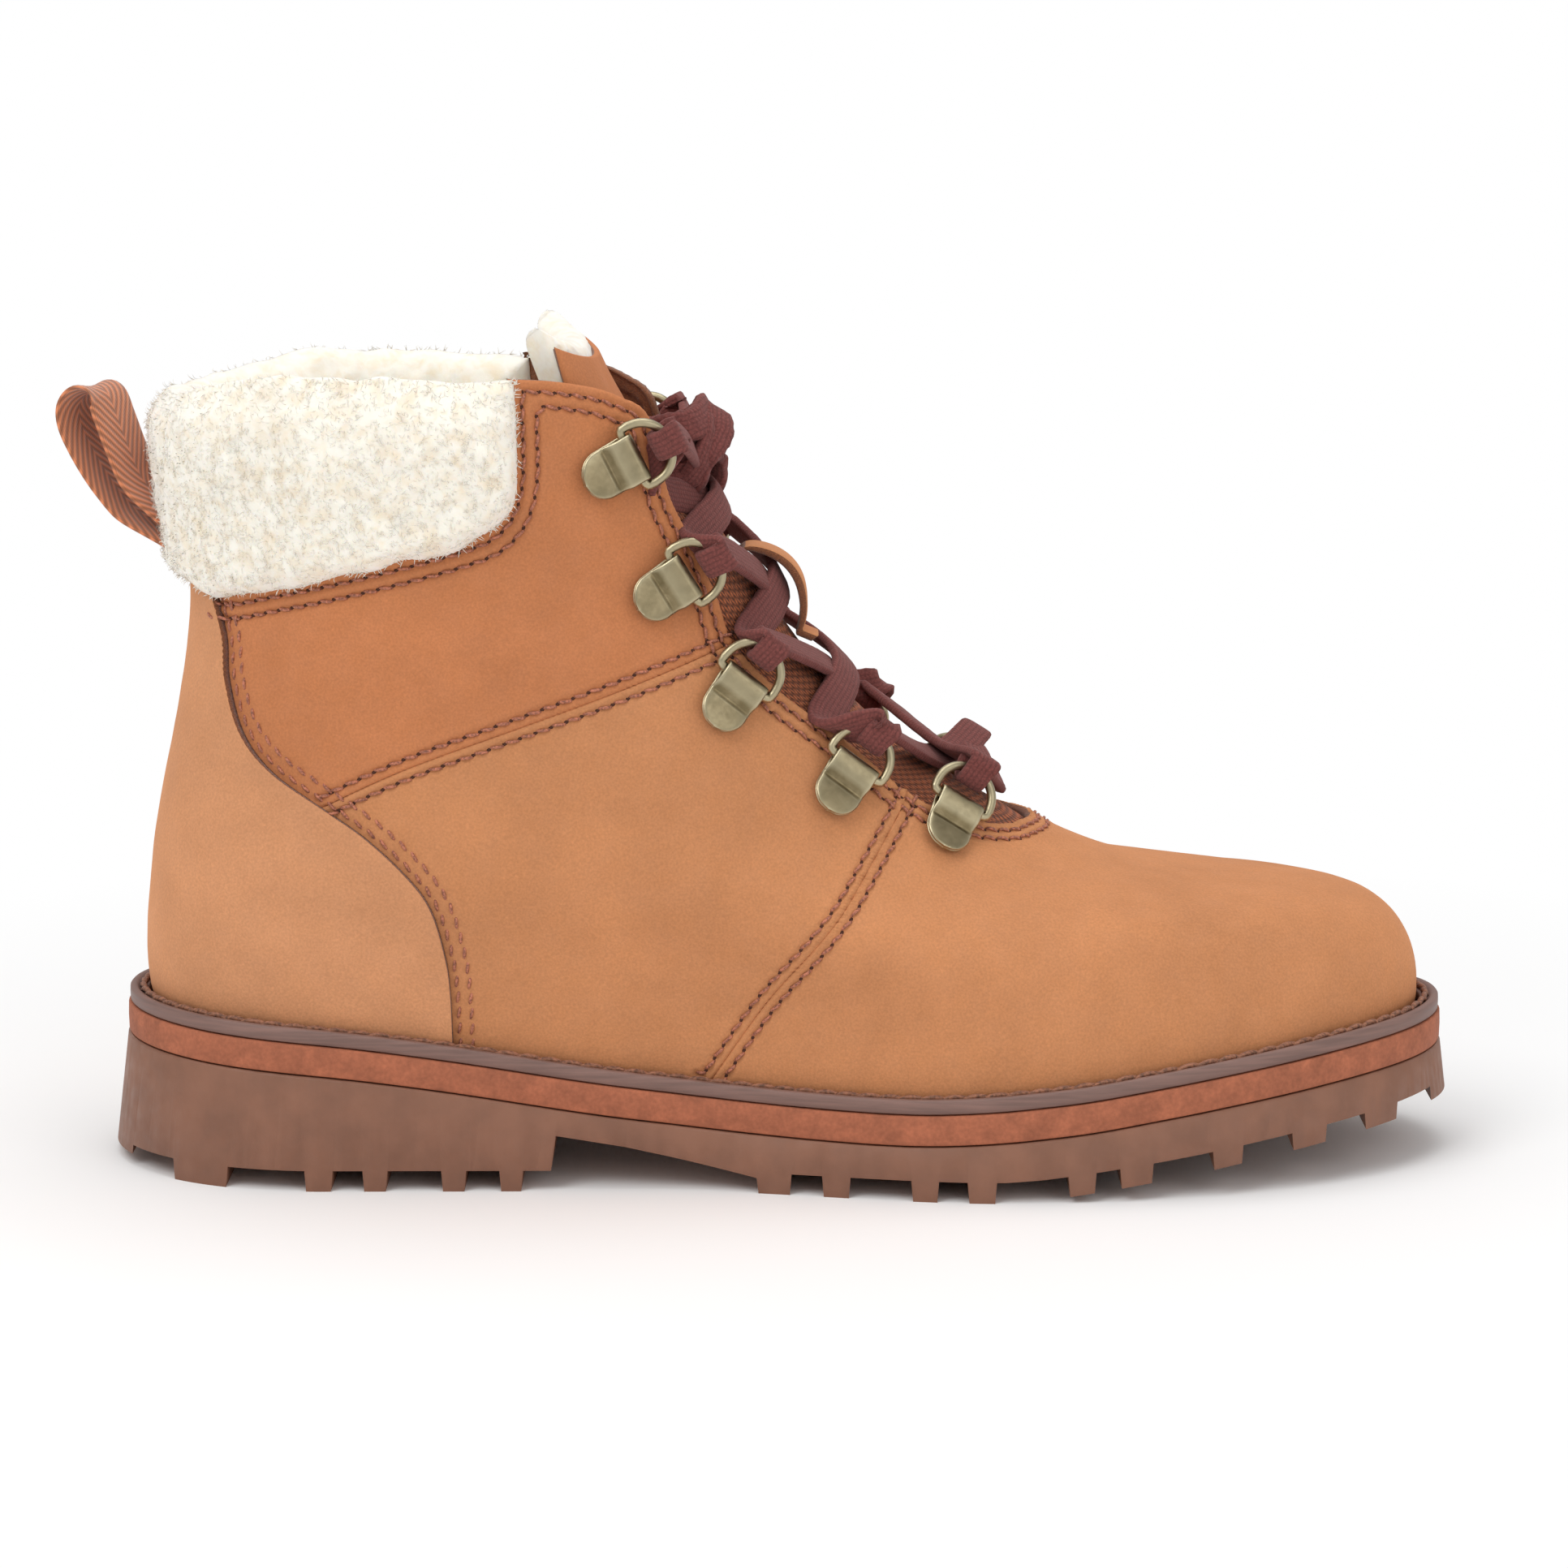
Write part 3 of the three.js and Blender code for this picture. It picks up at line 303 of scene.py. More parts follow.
def tube(path, radius, sides, closed=False):
    """Points and faces of a round tube along a path. radius may be one value or one a point."""
    path = np.asarray(path, float)
    n = len(path)
    ahead = np.roll(path, -1, 0) - path if closed else np.gradient(path, axis=0)
    along = unit(ahead + np.roll(ahead, 1, 0)) if closed else unit(ahead)
    reference = np.zeros((n, 3))
    side = np.cross(along[0], [0.31, 0.57, 0.76])
    for i in range(n):
        side = side - along[i] * (side @ along[i])
        side = side / np.linalg.norm(side)
        reference[i] = side
    other = np.cross(along, reference)
    angle = np.linspace(0, 2 * np.pi, sides, endpoint=False)
    radius = np.broadcast_to(np.asarray(radius, float), (n,))
    ring = (np.cos(angle)[None, :, None] * reference[:, None] + np.sin(angle)[None, :, None] * other[:, None])
    points = (path[:, None] + ring * radius[:, None, None]).reshape(-1, 3)
    faces = grid_faces(n, sides, wrap_rows=closed, wrap_columns=True).tolist()
    return points, faces if closed else faces + end_caps(n, sides)


def joined(parts):
    """Several (points, faces) as one."""
    points, faces, start = [], [], 0
    for p, f in parts:
        points.append(p)
        faces.extend([[i + start for i in face] for face in f])
        start += len(p)
    return np.vstack(points), faces


# ---- Materials ----


class Shader:
    """A procedural material, built from a few node helpers. Sizes are in millimetres."""

    def __init__(self, name, roughness=0.8, sheen=0.0, metallic=0.0):
        self.material = bpy.data.materials.new(name)
        self.material.use_nodes = True
        self.tree = self.material.node_tree
        self.bsdf = self.tree.nodes["Principled BSDF"]
        self.bsdf.inputs["Roughness"].default_value = roughness
        self.bsdf.inputs["Metallic"].default_value = metallic
        self.bsdf.inputs["Sheen Weight"].default_value = sheen
        self.bsdf.inputs["Sheen Roughness"].default_value = 0.5
        self.coordinates = self.node("ShaderNodeTexCoord").outputs["Object"]

    def node(self, kind, inputs=None, **settings):
        made = self.tree.nodes.new(kind)
        for key, value in settings.items():
            setattr(made, key, value)
        for key, value in (inputs or {}).items():
            self.fill(made.inputs[key], value)
        return made

    def fill(self, socket, value):
        """Links a socket to another one, or gives it a value."""
        if isinstance(value, bpy.types.NodeSocket):
            self.tree.links.new(value, socket)
        else:
            socket.default_value = value

    def place_on_strip(self):
        """The place across and along a woven strip."""
        flat = self.node("ShaderNodeAttribute", attribute_name="flat").outputs["Vector"]
        return self.node("ShaderNodeSeparateXYZ", {"Vector": flat}).outputs[:2]

    def stretched(self, vector, scale):
        return self.node("ShaderNodeMapping", {"Vector": vector, "Scale": scale}).outputs[0]

    def noise(self, size, detail, vector=None, distortion=0.0):
        inputs = {"Vector": vector or self.coordinates, "Scale": 1000 / size, "Detail": detail,
                  "Distortion": distortion}
        return self.node("ShaderNodeTexNoise", inputs).outputs["Fac"]

    def ramp(self, value, *stops):
        made = self.node("ShaderNodeValToRGB", {"Fac": value})
        elements = made.color_ramp.elements
        while len(elements) < len(stops):
            elements.new(0.5)
        for element, (place, colour) in zip(elements, stops):
            element.position = place
            element.color = (*colour, 1) if isinstance(colour, tuple) else (colour, colour, colour, 1)
        return made.outputs["Color"]

    def mixed(self, share, a, b, blend="MIX"):
        colours = [(*value, 1) if isinstance(value, tuple) else value for value in (a, b)]
        inputs = {0: share, 6: colours[0], 7: colours[1]}
        return self.node("ShaderNodeMix", inputs, data_type="RGBA", blend_type=blend).outputs[2]

    def maths(self, operation, *values):
        return self.node("ShaderNodeMath", dict(enumerate(values)), operation=operation).outputs[0]

    def times(self, a, b):
        return self.maths("MULTIPLY", a, b)

    def plus(self, a, b):
        return self.maths("ADD", a, b)

    def wave(self, value):
        """A sine wave from 0 to 1."""
        return self.plus(self.times(self.maths("SINE", value), 0.5), 0.5)

    def set(self, name, value):
        self.fill(self.bsdf.inputs[name], value)

    def bump(self, height, depth, strength):
        """Bumps of the given depth. A second call adds to the first."""
        inputs = {"Height": height, "Distance": depth * 0.001, "Strength": strength}
        normal = self.bsdf.inputs["Normal"]
        if normal.is_linked:
            inputs["Normal"] = normal.links[0].from_socket
        made = self.node("ShaderNodeBump", inputs)
        self.tree.links.new(made.outputs[0], normal)


LACE_RIB = 1.05  # width of a rib of the lace
WALE = 0.9  # half the width of a column of the knit
WALE_SHIFT = 50  # keeps the count of columns above 0


def tones(colour, *factors):
    """The colour made darker or lighter by each factor."""
    return [tuple(min(1.0, c * f) for c in colour) for f in factors]


def nubuck(name, colour):
    """Brushed leather: soft cloudy patches, brushed streaks, and a fine nap."""
    s = Shader(name, roughness=0.88, sheen=0.35)
    dark, middle, light = tones(colour, 0.92, 1.0, 1.07)
    clouds = s.ramp(s.noise(34, 2, distortion=0.4), (0.3, dark), (0.5, middle), (0.72, light))
    patches = s.ramp(s.noise(8, 4), (0.3, 0.95), (0.7, 1.03))
    nap = s.ramp(s.noise(0.5, 3), (0.3, 0.84), (0.72, 1.12))
    speckle = s.ramp(s.noise(0.9, 1), (0.66, 1.0), (0.8, 1.15))
    made = s.mixed(1.0, clouds, patches, "MULTIPLY")
    made = s.mixed(0.7, made, nap, "MULTIPLY")
    made = s.mixed(0.5, made, speckle, "MULTIPLY")
    s.set("Base Color", made)
    s.set("Sheen Tint", (*tones(colour, 1.5)[0], 1))
    s.set("Roughness", s.ramp(s.noise(5, 2), (0.3, 0.8), (0.7, 0.95)))
    s.bump(s.noise(0.45, 3), 0.12, 0.6)
    s.bump(s.noise(2.4, 2), 0.18, 0.35)
    return s.material


def raw_leather(name, colour):
    """A cut edge: fibrous and darker."""
    s = Shader(name, roughness=0.97, sheen=0.3)
    fibres = s.noise(0.35, 4, s.stretched(s.coordinates, (1, 1, 2.5)))
    s.set("Base Color", s.ramp(fibres, (0.3, tones(colour, 0.45)[0]), (0.7, tones(colour, 1.1)[0])))
    s.bump(fibres, 0.35, 0.9)
    return s.material


def fleece_material(name, colour):
    """Wool pile: painted shade, creamy and darker, in the hollows between the curls."""
    s = Shader(name, roughness=1.0, sheen=0.6)
    s.set("Subsurface Weight", 0.25)
    s.set("Subsurface Radius", (0.004, 0.003, 0.002))
    s.set("Subsurface Scale", 0.6)
    warm = tones(colour, 1.0)[0]
    # Painted shade: darker and creamier where the curls dip, and a painted highlight, a little lighter, on
    # their tops.
    painted_hollow_shade = (colour[0] * 0.95, colour[1] * 0.89, colour[2] * 0.8)
    curls = s.noise(3.2, 3, distortion=0.5)
    patches = s.ramp(s.noise(15, 2), (0.35, 0.98), (0.65, 1.02))
    base = s.ramp(curls, (0.3, painted_hollow_shade), (0.55, warm), (0.8, tones(colour, 1.06)[0]))
    s.set("Base Color", s.mixed(1.0, base, patches, "MULTIPLY"))
    s.bump(curls, 0.3, 0.3)
    s.bump(s.noise(0.5, 3, distortion=1.5), 0.16, 0.5)
    return s.material


def rubber(name, colour):
    """The outsole: matt, slightly mottled, with a fine moulded grain."""
    roughness = 0.55
    s = Shader(name, roughness=roughness)
    dark, light = tones(colour, 0.9, 1.1)
    s.set("Base Color", s.ramp(s.noise(9, 5), (0.35, dark), (0.65, light)))
    s.set("Roughness", s.ramp(s.noise(3, 3), (0.3, roughness - 0.08), (0.7, roughness + 0.1)))
    s.bump(s.noise(0.3, 2), 0.05, 0.5)
    s.bump(s.noise(14, 1), 0.2, 0.25)
    return s.material


def grained(name, colour):
    """The midsole: fine pebbled grain with paler dust."""
    s = Shader(name, roughness=0.82)
    dark, light = tones(colour, 0.82, 1.18)
    base = s.ramp(s.noise(4, 5), (0.3, dark), (0.7, light))
    dust = s.ramp(s.noise(0.8, 3), (0.35, 0.85), (0.7, 1.12))
    s.set("Base Color", s.mixed(0.8, base, dust, "MULTIPLY"))
    s.bump(s.noise(0.5, 3), 0.1, 0.7)
    return s.material


def worn_strip(name, colour):
    """The welt: satin, with fine scuffs along it."""
    s = Shader(name, roughness=0.5)
    streaks = s.noise(1.6, 4, s.stretched(s.coordinates, (0.12, 0.12, 2.2)))
    dark, light = tones(colour, 0.85, 1.25)
    s.set("Base Color", s.ramp(streaks, (0.35, dark), (0.7, light)))
    s.set("Roughness", s.ramp(streaks, (0.3, 0.42), (0.7, 0.66)))
    s.bump(streaks, 0.06, 0.6)
    return s.material


def thread_material(name, colour, twist=0.55):
    """Twisted sewing thread, with painted shade between its plies and painted highlights on them."""
    s = Shader(name, roughness=0.6, sheen=0.08)
    ply = s.noise(twist, 2, s.stretched(s.coordinates, (1, 2, 1)))
    # The ply noise that raises the bump also paints the colour: painted shade, 0.6 of it, in the grooves and
    # painted highlights, up to 1.7 times, on the plies.
    s.set("Base Color", s.ramp(ply, (0.35, tones(colour, 0.6)[0]), (0.65, tones(colour, 1.7)[0])))
    s.bump(ply, 0.15, 0.8)
    return s.material


def lace_material(name, colour):
    """Flat cotton lace: ribs along it, knitted from small slanted stitches."""
    s = Shader(name, roughness=0.97, sheen=0.22)
    across, along = s.place_on_strip()
    rib = s.maths("ABSOLUTE", s.maths("SINE", s.times(across, np.pi / LACE_RIB)))
    slant = s.plus(s.times(along, 2 * np.pi / 0.85), s.times(s.maths("PINGPONG", across, LACE_RIB), 3.5))
    stitch = s.plus(s.times(s.wave(slant), 0.5), 0.5)
    knit = s.times(s.maths("POWER", rib, 0.6), stitch)
    fuzz = s.noise(0.45, 3, distortion=1.0)
    # The colour follows the knit's height: painted shade in the grooves between ribs and stitches, lighter on
    # their tops. The fuzz noise, which also raises the bump, darkens and lightens the colour in the same
    # places: painted shade and light among the fibres.
    dark, light = tones(colour, 0.72, 1.2)
    base = s.ramp(knit, (0.05, dark), (0.85, light))
    s.set("Base Color", s.mixed(0.8, base, s.ramp(fuzz, (0.3, 0.68), (0.72, 1.35)), "MULTIPLY"))
    s.set("Sheen Tint", (0.6, 0.36, 0.34, 1))
    s.bump(knit, 0.16, 0.6)
    s.bump(fuzz, 0.22, 0.7)
    return s.material


def knit_material(name, colour):
    """The tongue's textile: coarse slanted loops, with painted shade in the gaps between them and painted
    highlights on their tops.
    """
    s = Shader(name, roughness=0.75, sheen=0.06)
    across, along = s.place_on_strip()
    wale = s.maths("PINGPONG", s.plus(across, WALE_SHIFT), WALE)
    loop = s.wave(s.plus(s.times(along, 2 * np.pi / 1.9), s.times(wale, 3.0)))
    edge = s.maths("SINE", s.times(wale, np.pi / WALE))
    height = s.times(s.maths("POWER", edge, 0.5), s.plus(s.times(loop, 0.7), 0.3))
    # Painted shade and highlights: the colour follows the loops' height, down to 0.22 of it in the gaps and
    # up to 1.6 times on the loops.
    dark, light = tones(colour, 0.22, 1.6)
    base = s.ramp(height, (0.12, dark), (0.5, colour), (0.9, light))
    s.set("Base Color", s.mixed(0.5, base, s.ramp(s.noise(0.4, 2), (0.3, 0.7), (0.7, 1.25)), "MULTIPLY"))
    s.bump(height, 0.45, 0.9)
    s.bump(s.noise(0.3, 2), 0.1, 0.5)
    return s.material


def herringbone_material(name, colour):
    """Webbing woven in slanted bands that turn at the middle, with fine ridge threads; its colour is darker
    where the weave lies low and lighter where it stands high.
    """
    s = Shader(name, roughness=0.7, sheen=0.35)
    across, along = s.place_on_strip()
    band = s.wave(s.plus(s.times(along, 2 * np.pi / 2.4), s.times(s.maths("ABSOLUTE", across), 3.3)))
    yarn = s.wave(s.times(across, 2 * np.pi / 0.5))
    height = s.plus(s.times(band, 0.7), s.times(yarn, 0.3))
    dark, light = tones(colour, 0.6, 1.6)
    s.set("Base Color", s.ramp(height, (0.15, dark), (0.55, colour), (0.9, light)))
    s.bump(height, 0.25, 0.8)
    s.bump(s.noise(0.3, 2), 0.1, 0.4)
    return s.material


def brass(name):
    """Antique brass: brighter on rubbed edges, brown in the hollows, softly brushed."""
    s = Shader(name, roughness=0.34, metallic=1.0)
    patina = s.noise(3.5, 4, distortion=0.4)
    brown, middle, pale = (0.16, 0.125, 0.064), (0.24, 0.19, 0.105), (0.31, 0.255, 0.15)
    base = s.ramp(patina, (0.3, brown), (0.55, middle), (0.8, pale))
    worn = s.ramp(s.node("ShaderNodeNewGeometry").outputs["Pointiness"], (0.49, 0.0), (0.56, 1.0))
    s.set("Base Color", s.mixed(worn, base, (0.5, 0.44, 0.29)))
    s.set("Roughness", s.ramp(s.noise(1.2, 3), (0.3, 0.28), (0.7, 0.46)))
    s.bump(s.noise(0.25, 2), 0.02, 0.5)
    s.bump(s.noise(4, 1), 0.06, 0.3)
    return s.material


def plain_fibre(name, colour, size=0.6):
    """Matt fibres or foam, mottled at the given size."""
    s = Shader(name, roughness=0.95)
    dark, light = tones(colour, 0.75, 1.15)
    s.set("Base Color", s.ramp(s.noise(size, 4), (0.3, dark), (0.7, light)))
    s.bump(s.noise(size, 3), 0.15, 0.7)
    return s.material


def steel_material(name):
    """Rolled steel, streaked along its length."""
    s = Shader(name, roughness=0.4, metallic=1.0)
    streaks = s.noise(1, 3, s.stretched(s.coordinates, (0.1, 1, 1)))
    s.set("Base Color", s.ramp(streaks, (0.3, (0.4, 0.41, 0.42)), (0.7, (0.6, 0.61, 0.62))))
    return s.material


NUBUCK = nubuck("nubuck_tan", (0.553, 0.230, 0.093))
NUBUCK_DARK = nubuck("nubuck_ankle", (0.525, 0.190, 0.071))
NUBUCK_PALE = nubuck("nubuck_heel", (0.600, 0.270, 0.124))
RAW_EDGE = raw_leather("cut_leather", (0.30, 0.10, 0.035))
FLEECE = fleece_material("wool_pile", (0.96, 0.91, 0.81))
OUTSOLE_RUBBER = rubber("outsole_rubber", (0.230, 0.101, 0.059))
MIDSOLE_RUBBER = grained("midsole_grain", (0.375, 0.117, 0.056))
WELT_STRIP = worn_strip("welt_strip", (0.195, 0.110, 0.090))
THREAD = thread_material("seam_thread", (0.33, 0.115, 0.065))
WELT_THREAD = thread_material("welt_thread", (0.21, 0.085, 0.045), 0.8)
# Painted shade: the colour of the dark balls that stand for the shade inside the needle holes.
PAINTED_HOLE_SHADE = plain_fibre("painted_hole_shade", (0.075, 0.026, 0.015), 0.3)
LACE_COTTON = lace_material("lace_cotton", (0.156, 0.042, 0.036))
KNIT = knit_material("tongue_knit", (0.34, 0.095, 0.035))
WEBBING = herringbone_material("pull_webbing", (0.46, 0.155, 0.065))
BRASS = brass("antique_brass")
BOARD = plain_fibre("fibre_board", (0.45, 0.37, 0.26))
FOAM = plain_fibre("lining_foam", (0.66, 0.62, 0.52), 0.9)
STEEL = steel_material("shank_steel")

# ---- Seams on the face, as turn and level ----

SEAM_STEP = 0.6  # along a seam, and between a leather panel's points near its edges
BODY = "boot"


def seam(points):
    return face_at(*spline(points, SEAM_STEP).T, 1)


def mirrored(curve):
    """The same seam on the inner side."""
    return curve * [-1, 1]


def behind(curve):
    """A seam of the inner side with its turn counted on past the heel."""
    return curve * [-1, 1] + [2 * np.pi, 0]


def opening_curve():
    """The collar seam from the heel to its front corner, and the throat from there to the toe end."""
    collar = seam(COLLAR_SEAM)
    collar = collar[collar[:, 0] < np.pi - 1e-3]
    throat = seam(THROAT)
    turn, level = throat[-1]
    angle = np.linspace(0, np.pi / 2, 12)[1:]
    around = np.stack([turn * np.cos(angle), level + (THROAT_END_LEVEL - level) * np.sin(angle)], 1)
    collar = np.vstack([[np.pi, collar[0, 1]], collar])
    return collar, np.vstack([throat, around])


def on_face(curve):
    return face_point(*curve.T)


def under_face(curve, depth):
    return layer_point(*curve.T, depth)


def cut_where(curve, other):
    """Index of the curve's point nearest to another curve."""
    a, b = on_face(curve), on_face(other)
    return int(np.argmin(((a[:, None] - b[None]) ** 2).sum(2).min(1)))


def step_on_face(curve, vectors):
    """The curve moved along the face by vectors that lie on it."""
    along, climb = face_slopes(*curve.T)
    a, b, c = (along**2).sum(1), (along * climb).sum(1), (climb**2).sum(1)
    u, w = (vectors * along).sum(1), (vectors * climb).sum(1)
    return curve + np.stack([c * u - b * w, a * w - b * u], 1) / (a * c - b * b)[:, None]


def inset(curve, distance, keep=0.97):
    """The curve moved sideways on the face, to its left as the face's normal points at the viewer."""
    start = on_face(curve)
    moved = curve
    count = max(1, int(abs(distance)))
    for _ in range(count):
        side = unit(np.cross(face_normal(*moved.T), unit(np.gradient(on_face(moved), axis=0))))
        moved = step_on_face(moved, side * distance / count)
    return moved[distance_to(on_face(moved), start) > keep * abs(distance)]


def evenly(curve, step):
    """A seam in equal steps along the boot."""
    return resampled(on_face(curve), step, curve)


def inside(points, loop):
    """Which points lie inside a closed loop, by counting the edges crossed."""
    x, y = points.T
    result = np.zeros(len(points), bool)
    nearby = (x > loop[:, 0].min()) & (x < loop[:, 0].max()) & (y > loop[:, 1].min()) & (y < loop[:, 1].max())
    px, py = x[nearby], y[nearby]
    odd = np.zeros(len(px), bool)
    for (x1, y1), (x2, y2) in zip(loop, np.roll(loop, -1, 0)):
        if y1 != y2:
            odd ^= ((y1 > py) != (y2 > py)) & (px < (x2 - x1) * (py - y1) / (y2 - y1) + x1)
    result[nearby] = odd
    return result


collar_seam, throat = opening_curve()
counter_edge = seam(COUNTER_EDGE)
quarter_seam = seam(QUARTER_SEAM)
vamp_seam = seam(VAMP_SEAM)
# The seams are cut to length where they meet.
counter_edge = counter_edge[cut_where(counter_edge, collar_seam):]
at_counter = cut_where(collar_seam, counter_edge[:1])
at_quarter = cut_where(throat, quarter_seam[-1:])
at_vamp = cut_where(throat, vamp_seam[:1])
quarter_at_counter = cut_where(counter_edge, quarter_seam[:1])

# ---- Leather panels ----

# A panel's edges: the rise over the neighbour, how far in the rise reaches, and how round the edge is.
EDGES = {"lap": (0.95, 8, 0.5), "under": (-0.75, 6, 0), "butt": (0.12, 4, 0.75), "free": (0, 1, 0.75),
         "bottom": (-0.3, 3, 0)}
SIDES = ((1, "outer"), (-1, "inner"))
PITCH = 3.3  # of the stitches
# How far rows of stitches stand from an edge.
COUNTER_ROWS = (1.5, 4.1)
OPENING_ROWS = (2.3, 5.2)
THROAT_END_ROWS = (2.0, 4.3)
SEAM_ROW = 2.0
ROW_GROOVE = 0.26
ROW_SWELL = 0.1
HOLE_DIP = 0.42
THREAD_RADIUS = 0.36
FLAT_SCALE = np.array([90, 160])  # millimetres for one unit of turn and of level, to triangulate a panel


class Row:
    """A row of stitches at a distance from an edge, on the edge's left."""

    def __init__(self, edge, distance):
        curve = evenly(inset(edge, distance), 0.5)
        self.holes = evenly(curve, PITCH)
        self.line_points = on_face(curve)
        self.hole_points = on_face(self.holes)


class Panel:
    """A piece of the upper. Its outline runs through (curve, edge kind) segments, in turn and level."""

    def __init__(self, segments, rows=(), wrinkle=0.3, seed=1):
        self.loop = np.vstack([curve[:-1] for curve, _ in segments])
        self.edges = [(on_face(evenly(curve, 0.4)), kind) for curve, kind in segments]
        self.rows = list(rows)
        self.wrinkle = wrinkle
        self.seed = seed

    def height(self, points, with_rows=True):
        """How far the leather stands out from the face at each point."""
        total = self.wrinkle * (0.6 * noise(points, 34, self.seed) + 0.25 * noise(points, 11, self.seed))
        total = total - 0.18 * self.wrinkle * np.abs(noise(points, 5, self.seed + 3))
        for line, kind in self.edges:
            rise, reach, radius = EDGES[kind]
            away = distance_to(points, line)
            total += rise * (1 - smooth(away / reach))
            if radius:
                total -= radius * (1 - rounded(away / radius))
        if with_rows:
            for row in self.rows:
                from_row = distance_to(points, row.line_points)
                total -= ROW_GROOVE * np.exp(-(from_row / 0.7) ** 2)
                total -= HOLE_DIP * np.exp(-(distance_to(points, row.hole_points) / 0.6) ** 2)
                total += ROW_SWELL * np.exp(-((from_row - 1.4) / 0.6) ** 2)
        return total


def face_grid(loop, spacing):
    """Points about a spacing apart that cover a loop's range of turn and level."""
    (turn_low, low), (turn_high, high) = loop.min(0), loop.max(0)
    fine = np.linspace(turn_low, turn_high, 300)
    rows, level, odd = [], low, 0.0
    while level < high:
        points = face_point(fine, level)
        run = run_along(points)
        wanted = np.arange(odd * spacing / 2, run[-1], spacing)
        rows.append(np.stack([np.interp(wanted, run, fine), np.full(len(wanted), level)], 1))
        climb = np.linalg.norm(face_point(fine, level + 1e-3) - points, axis=1) * 1e3
        level += 0.87 * spacing / np.percentile(climb, 80)
        odd = 1 - odd
    return np.vstack(rows)


def face_mesh(loop, coarse=1.6, fine=SEAM_STEP, band=7.5, rims=(0.16, 0.4, 0.7)):
    """Triangles over the inside of a loop, small near the loop and larger further in."""
    rim_points = []
    for distance in rims:
        closed = np.vstack([loop[-3:], loop, loop[:3]])
        for sign in (1, -1):
            moved = inset(closed, sign * distance, 0.9)
            rim_points.append(moved[inside(moved, loop)])
    line = on_face(loop)
    dense = face_grid(loop, fine)
    dense = dense[inside(dense, loop)]
    away = distance_to(on_face(dense), line)
    near = dense[(away < band) & (away > (rims[-1] + 0.35 if rims else 0.6 * fine))]
    wide = face_grid(loop, coarse)
    wide = wide[inside(wide, loop)]
    far = wide[distance_to(on_face(wide), line) >= band + 0.3]
    points = np.vstack([loop, *rim_points, near, far])
    flat = [Vector(p) for p in points * FLAT_SCALE]
    made = delaunay_2d_cdt(flat, [], [list(range(len(loop)))], 1, 1e-5, False)
    curve = np.array([tuple(v) for v in made[0]]) / FLAT_SCALE
    faces = np.array([f[::-1] for f in made[2]])
    return curve, faces[inside(curve[faces].mean(1), loop)]


def shell(name, curve, faces, outside, within, materials):
    """A closed sheet over the mesh of a face, between two depths."""
    n = len(curve)
    points = np.vstack([under_face(curve, outside), under_face(curve, within)])
    directed = np.vstack([faces[:, [0, 1]], faces[:, [1, 2]], faces[:, [2, 0]]])
    keys = set(map(tuple, directed.tolist()))
    rim = [(a, b) for a, b in directed.tolist() if (b, a) not in keys]
    walls = [(b, a, a + n, b + n) for a, b in rim]
    everything = faces.tolist() + (faces[:, ::-1] + n).tolist() + walls
    index = [0] * len(faces) + [len(materials) - 1] * (len(faces) + len(walls))
    return make_object(name, points, everything, materials, index)


def finished(obj, node, body=BODY):
    """Rides a body and stands for a CAD node, if one is given."""
    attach(obj, body)
    if node:
        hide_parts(node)


def bending(obj, node, slot, child, start, end):
    """Bakes a piece's place into its mesh and stands for a CAD node, if one is given."""
    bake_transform(obj)
    if node:
        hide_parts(node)


def leather_panel(name, node, panel, material):
    curve, faces = face_mesh(panel.loop)
    height = panel.height(on_face(curve))
    made = shell(name, curve, faces, -height, -height + LEATHER, [material, RAW_EDGE])
    finished(made, node)


def stitching(name, rows, panels):
    """Thread between the needle holes of each row, a little slanted, and dark balls sunk in the holes for
    painted shade.
    """
    parts, holes = [], []
    k = np.linspace(0, 1, 9)
    rise = 0.62 * np.sin(np.pi * k) ** 0.55 - 0.42
    radius = THREAD_RADIUS * (0.8 + 0.2 * np.sin(np.pi * k))
    for row in rows:
        height = np.zeros(len(row.holes))
        for panel in panels:
            here = inside(row.holes, panel.loop)
            height[here] = panel.height(row.hole_points[here], with_rows=False)
        normals = face_normal(*row.holes.T)
        points = row.hole_points + normals * height[:, None]
        for a, b, out in zip(points[:-1], points[1:], normals):
            side = unit(np.cross(out, b - a))
            slant = np.outer(0.3 * (1 - 2 * k), side)
            parts.append(tube(a + np.outer(0.1 + 0.74 * k, b - a) + slant + np.outer(rise, out), radius, 6))
            # A dark ball sunk in each needle hole: painted shade of the hole.
            centre = a + (b - a) * 0.97 - out * 0.5
            holes.append(ball(centre, unit(b - a) * 0.62, side * 0.42, out * 0.2))
    points, faces = joined(parts + holes)
    thread_faces = sum(len(part[1]) for part in parts)
    index = [0] * thread_faces + [1] * (len(faces) - thread_faces)
    finished(make_object(name, points, faces, [THREAD, PAINTED_HOLE_SHADE], index), None)


def ball(centre, a, b, c):
    """A small ellipsoid with three half axes."""
    around, down = 8, 4
    points, faces = [centre + c], []
    for j in range(1, down):
        phi = np.pi * j / down
        for i in range(around):
            theta = 2 * np.pi * i / around
            points.append(centre + np.sin(phi) * (np.cos(theta) * a + np.sin(theta) * b) + np.cos(phi) * c)
    points.append(centre - c)
    bands = grid_faces(down - 1, around, wrap_columns=True)[:, [0, 3, 2, 1]] + 1
    faces.extend(bands.tolist())
    last = len(points) - 1
    for i in range(around):
        faces.append([0, 1 + i, 1 + (i + 1) % around])
        faces.append([last, last - around + (i + 1) % around, last - around + i])
    return np.array(points), faces


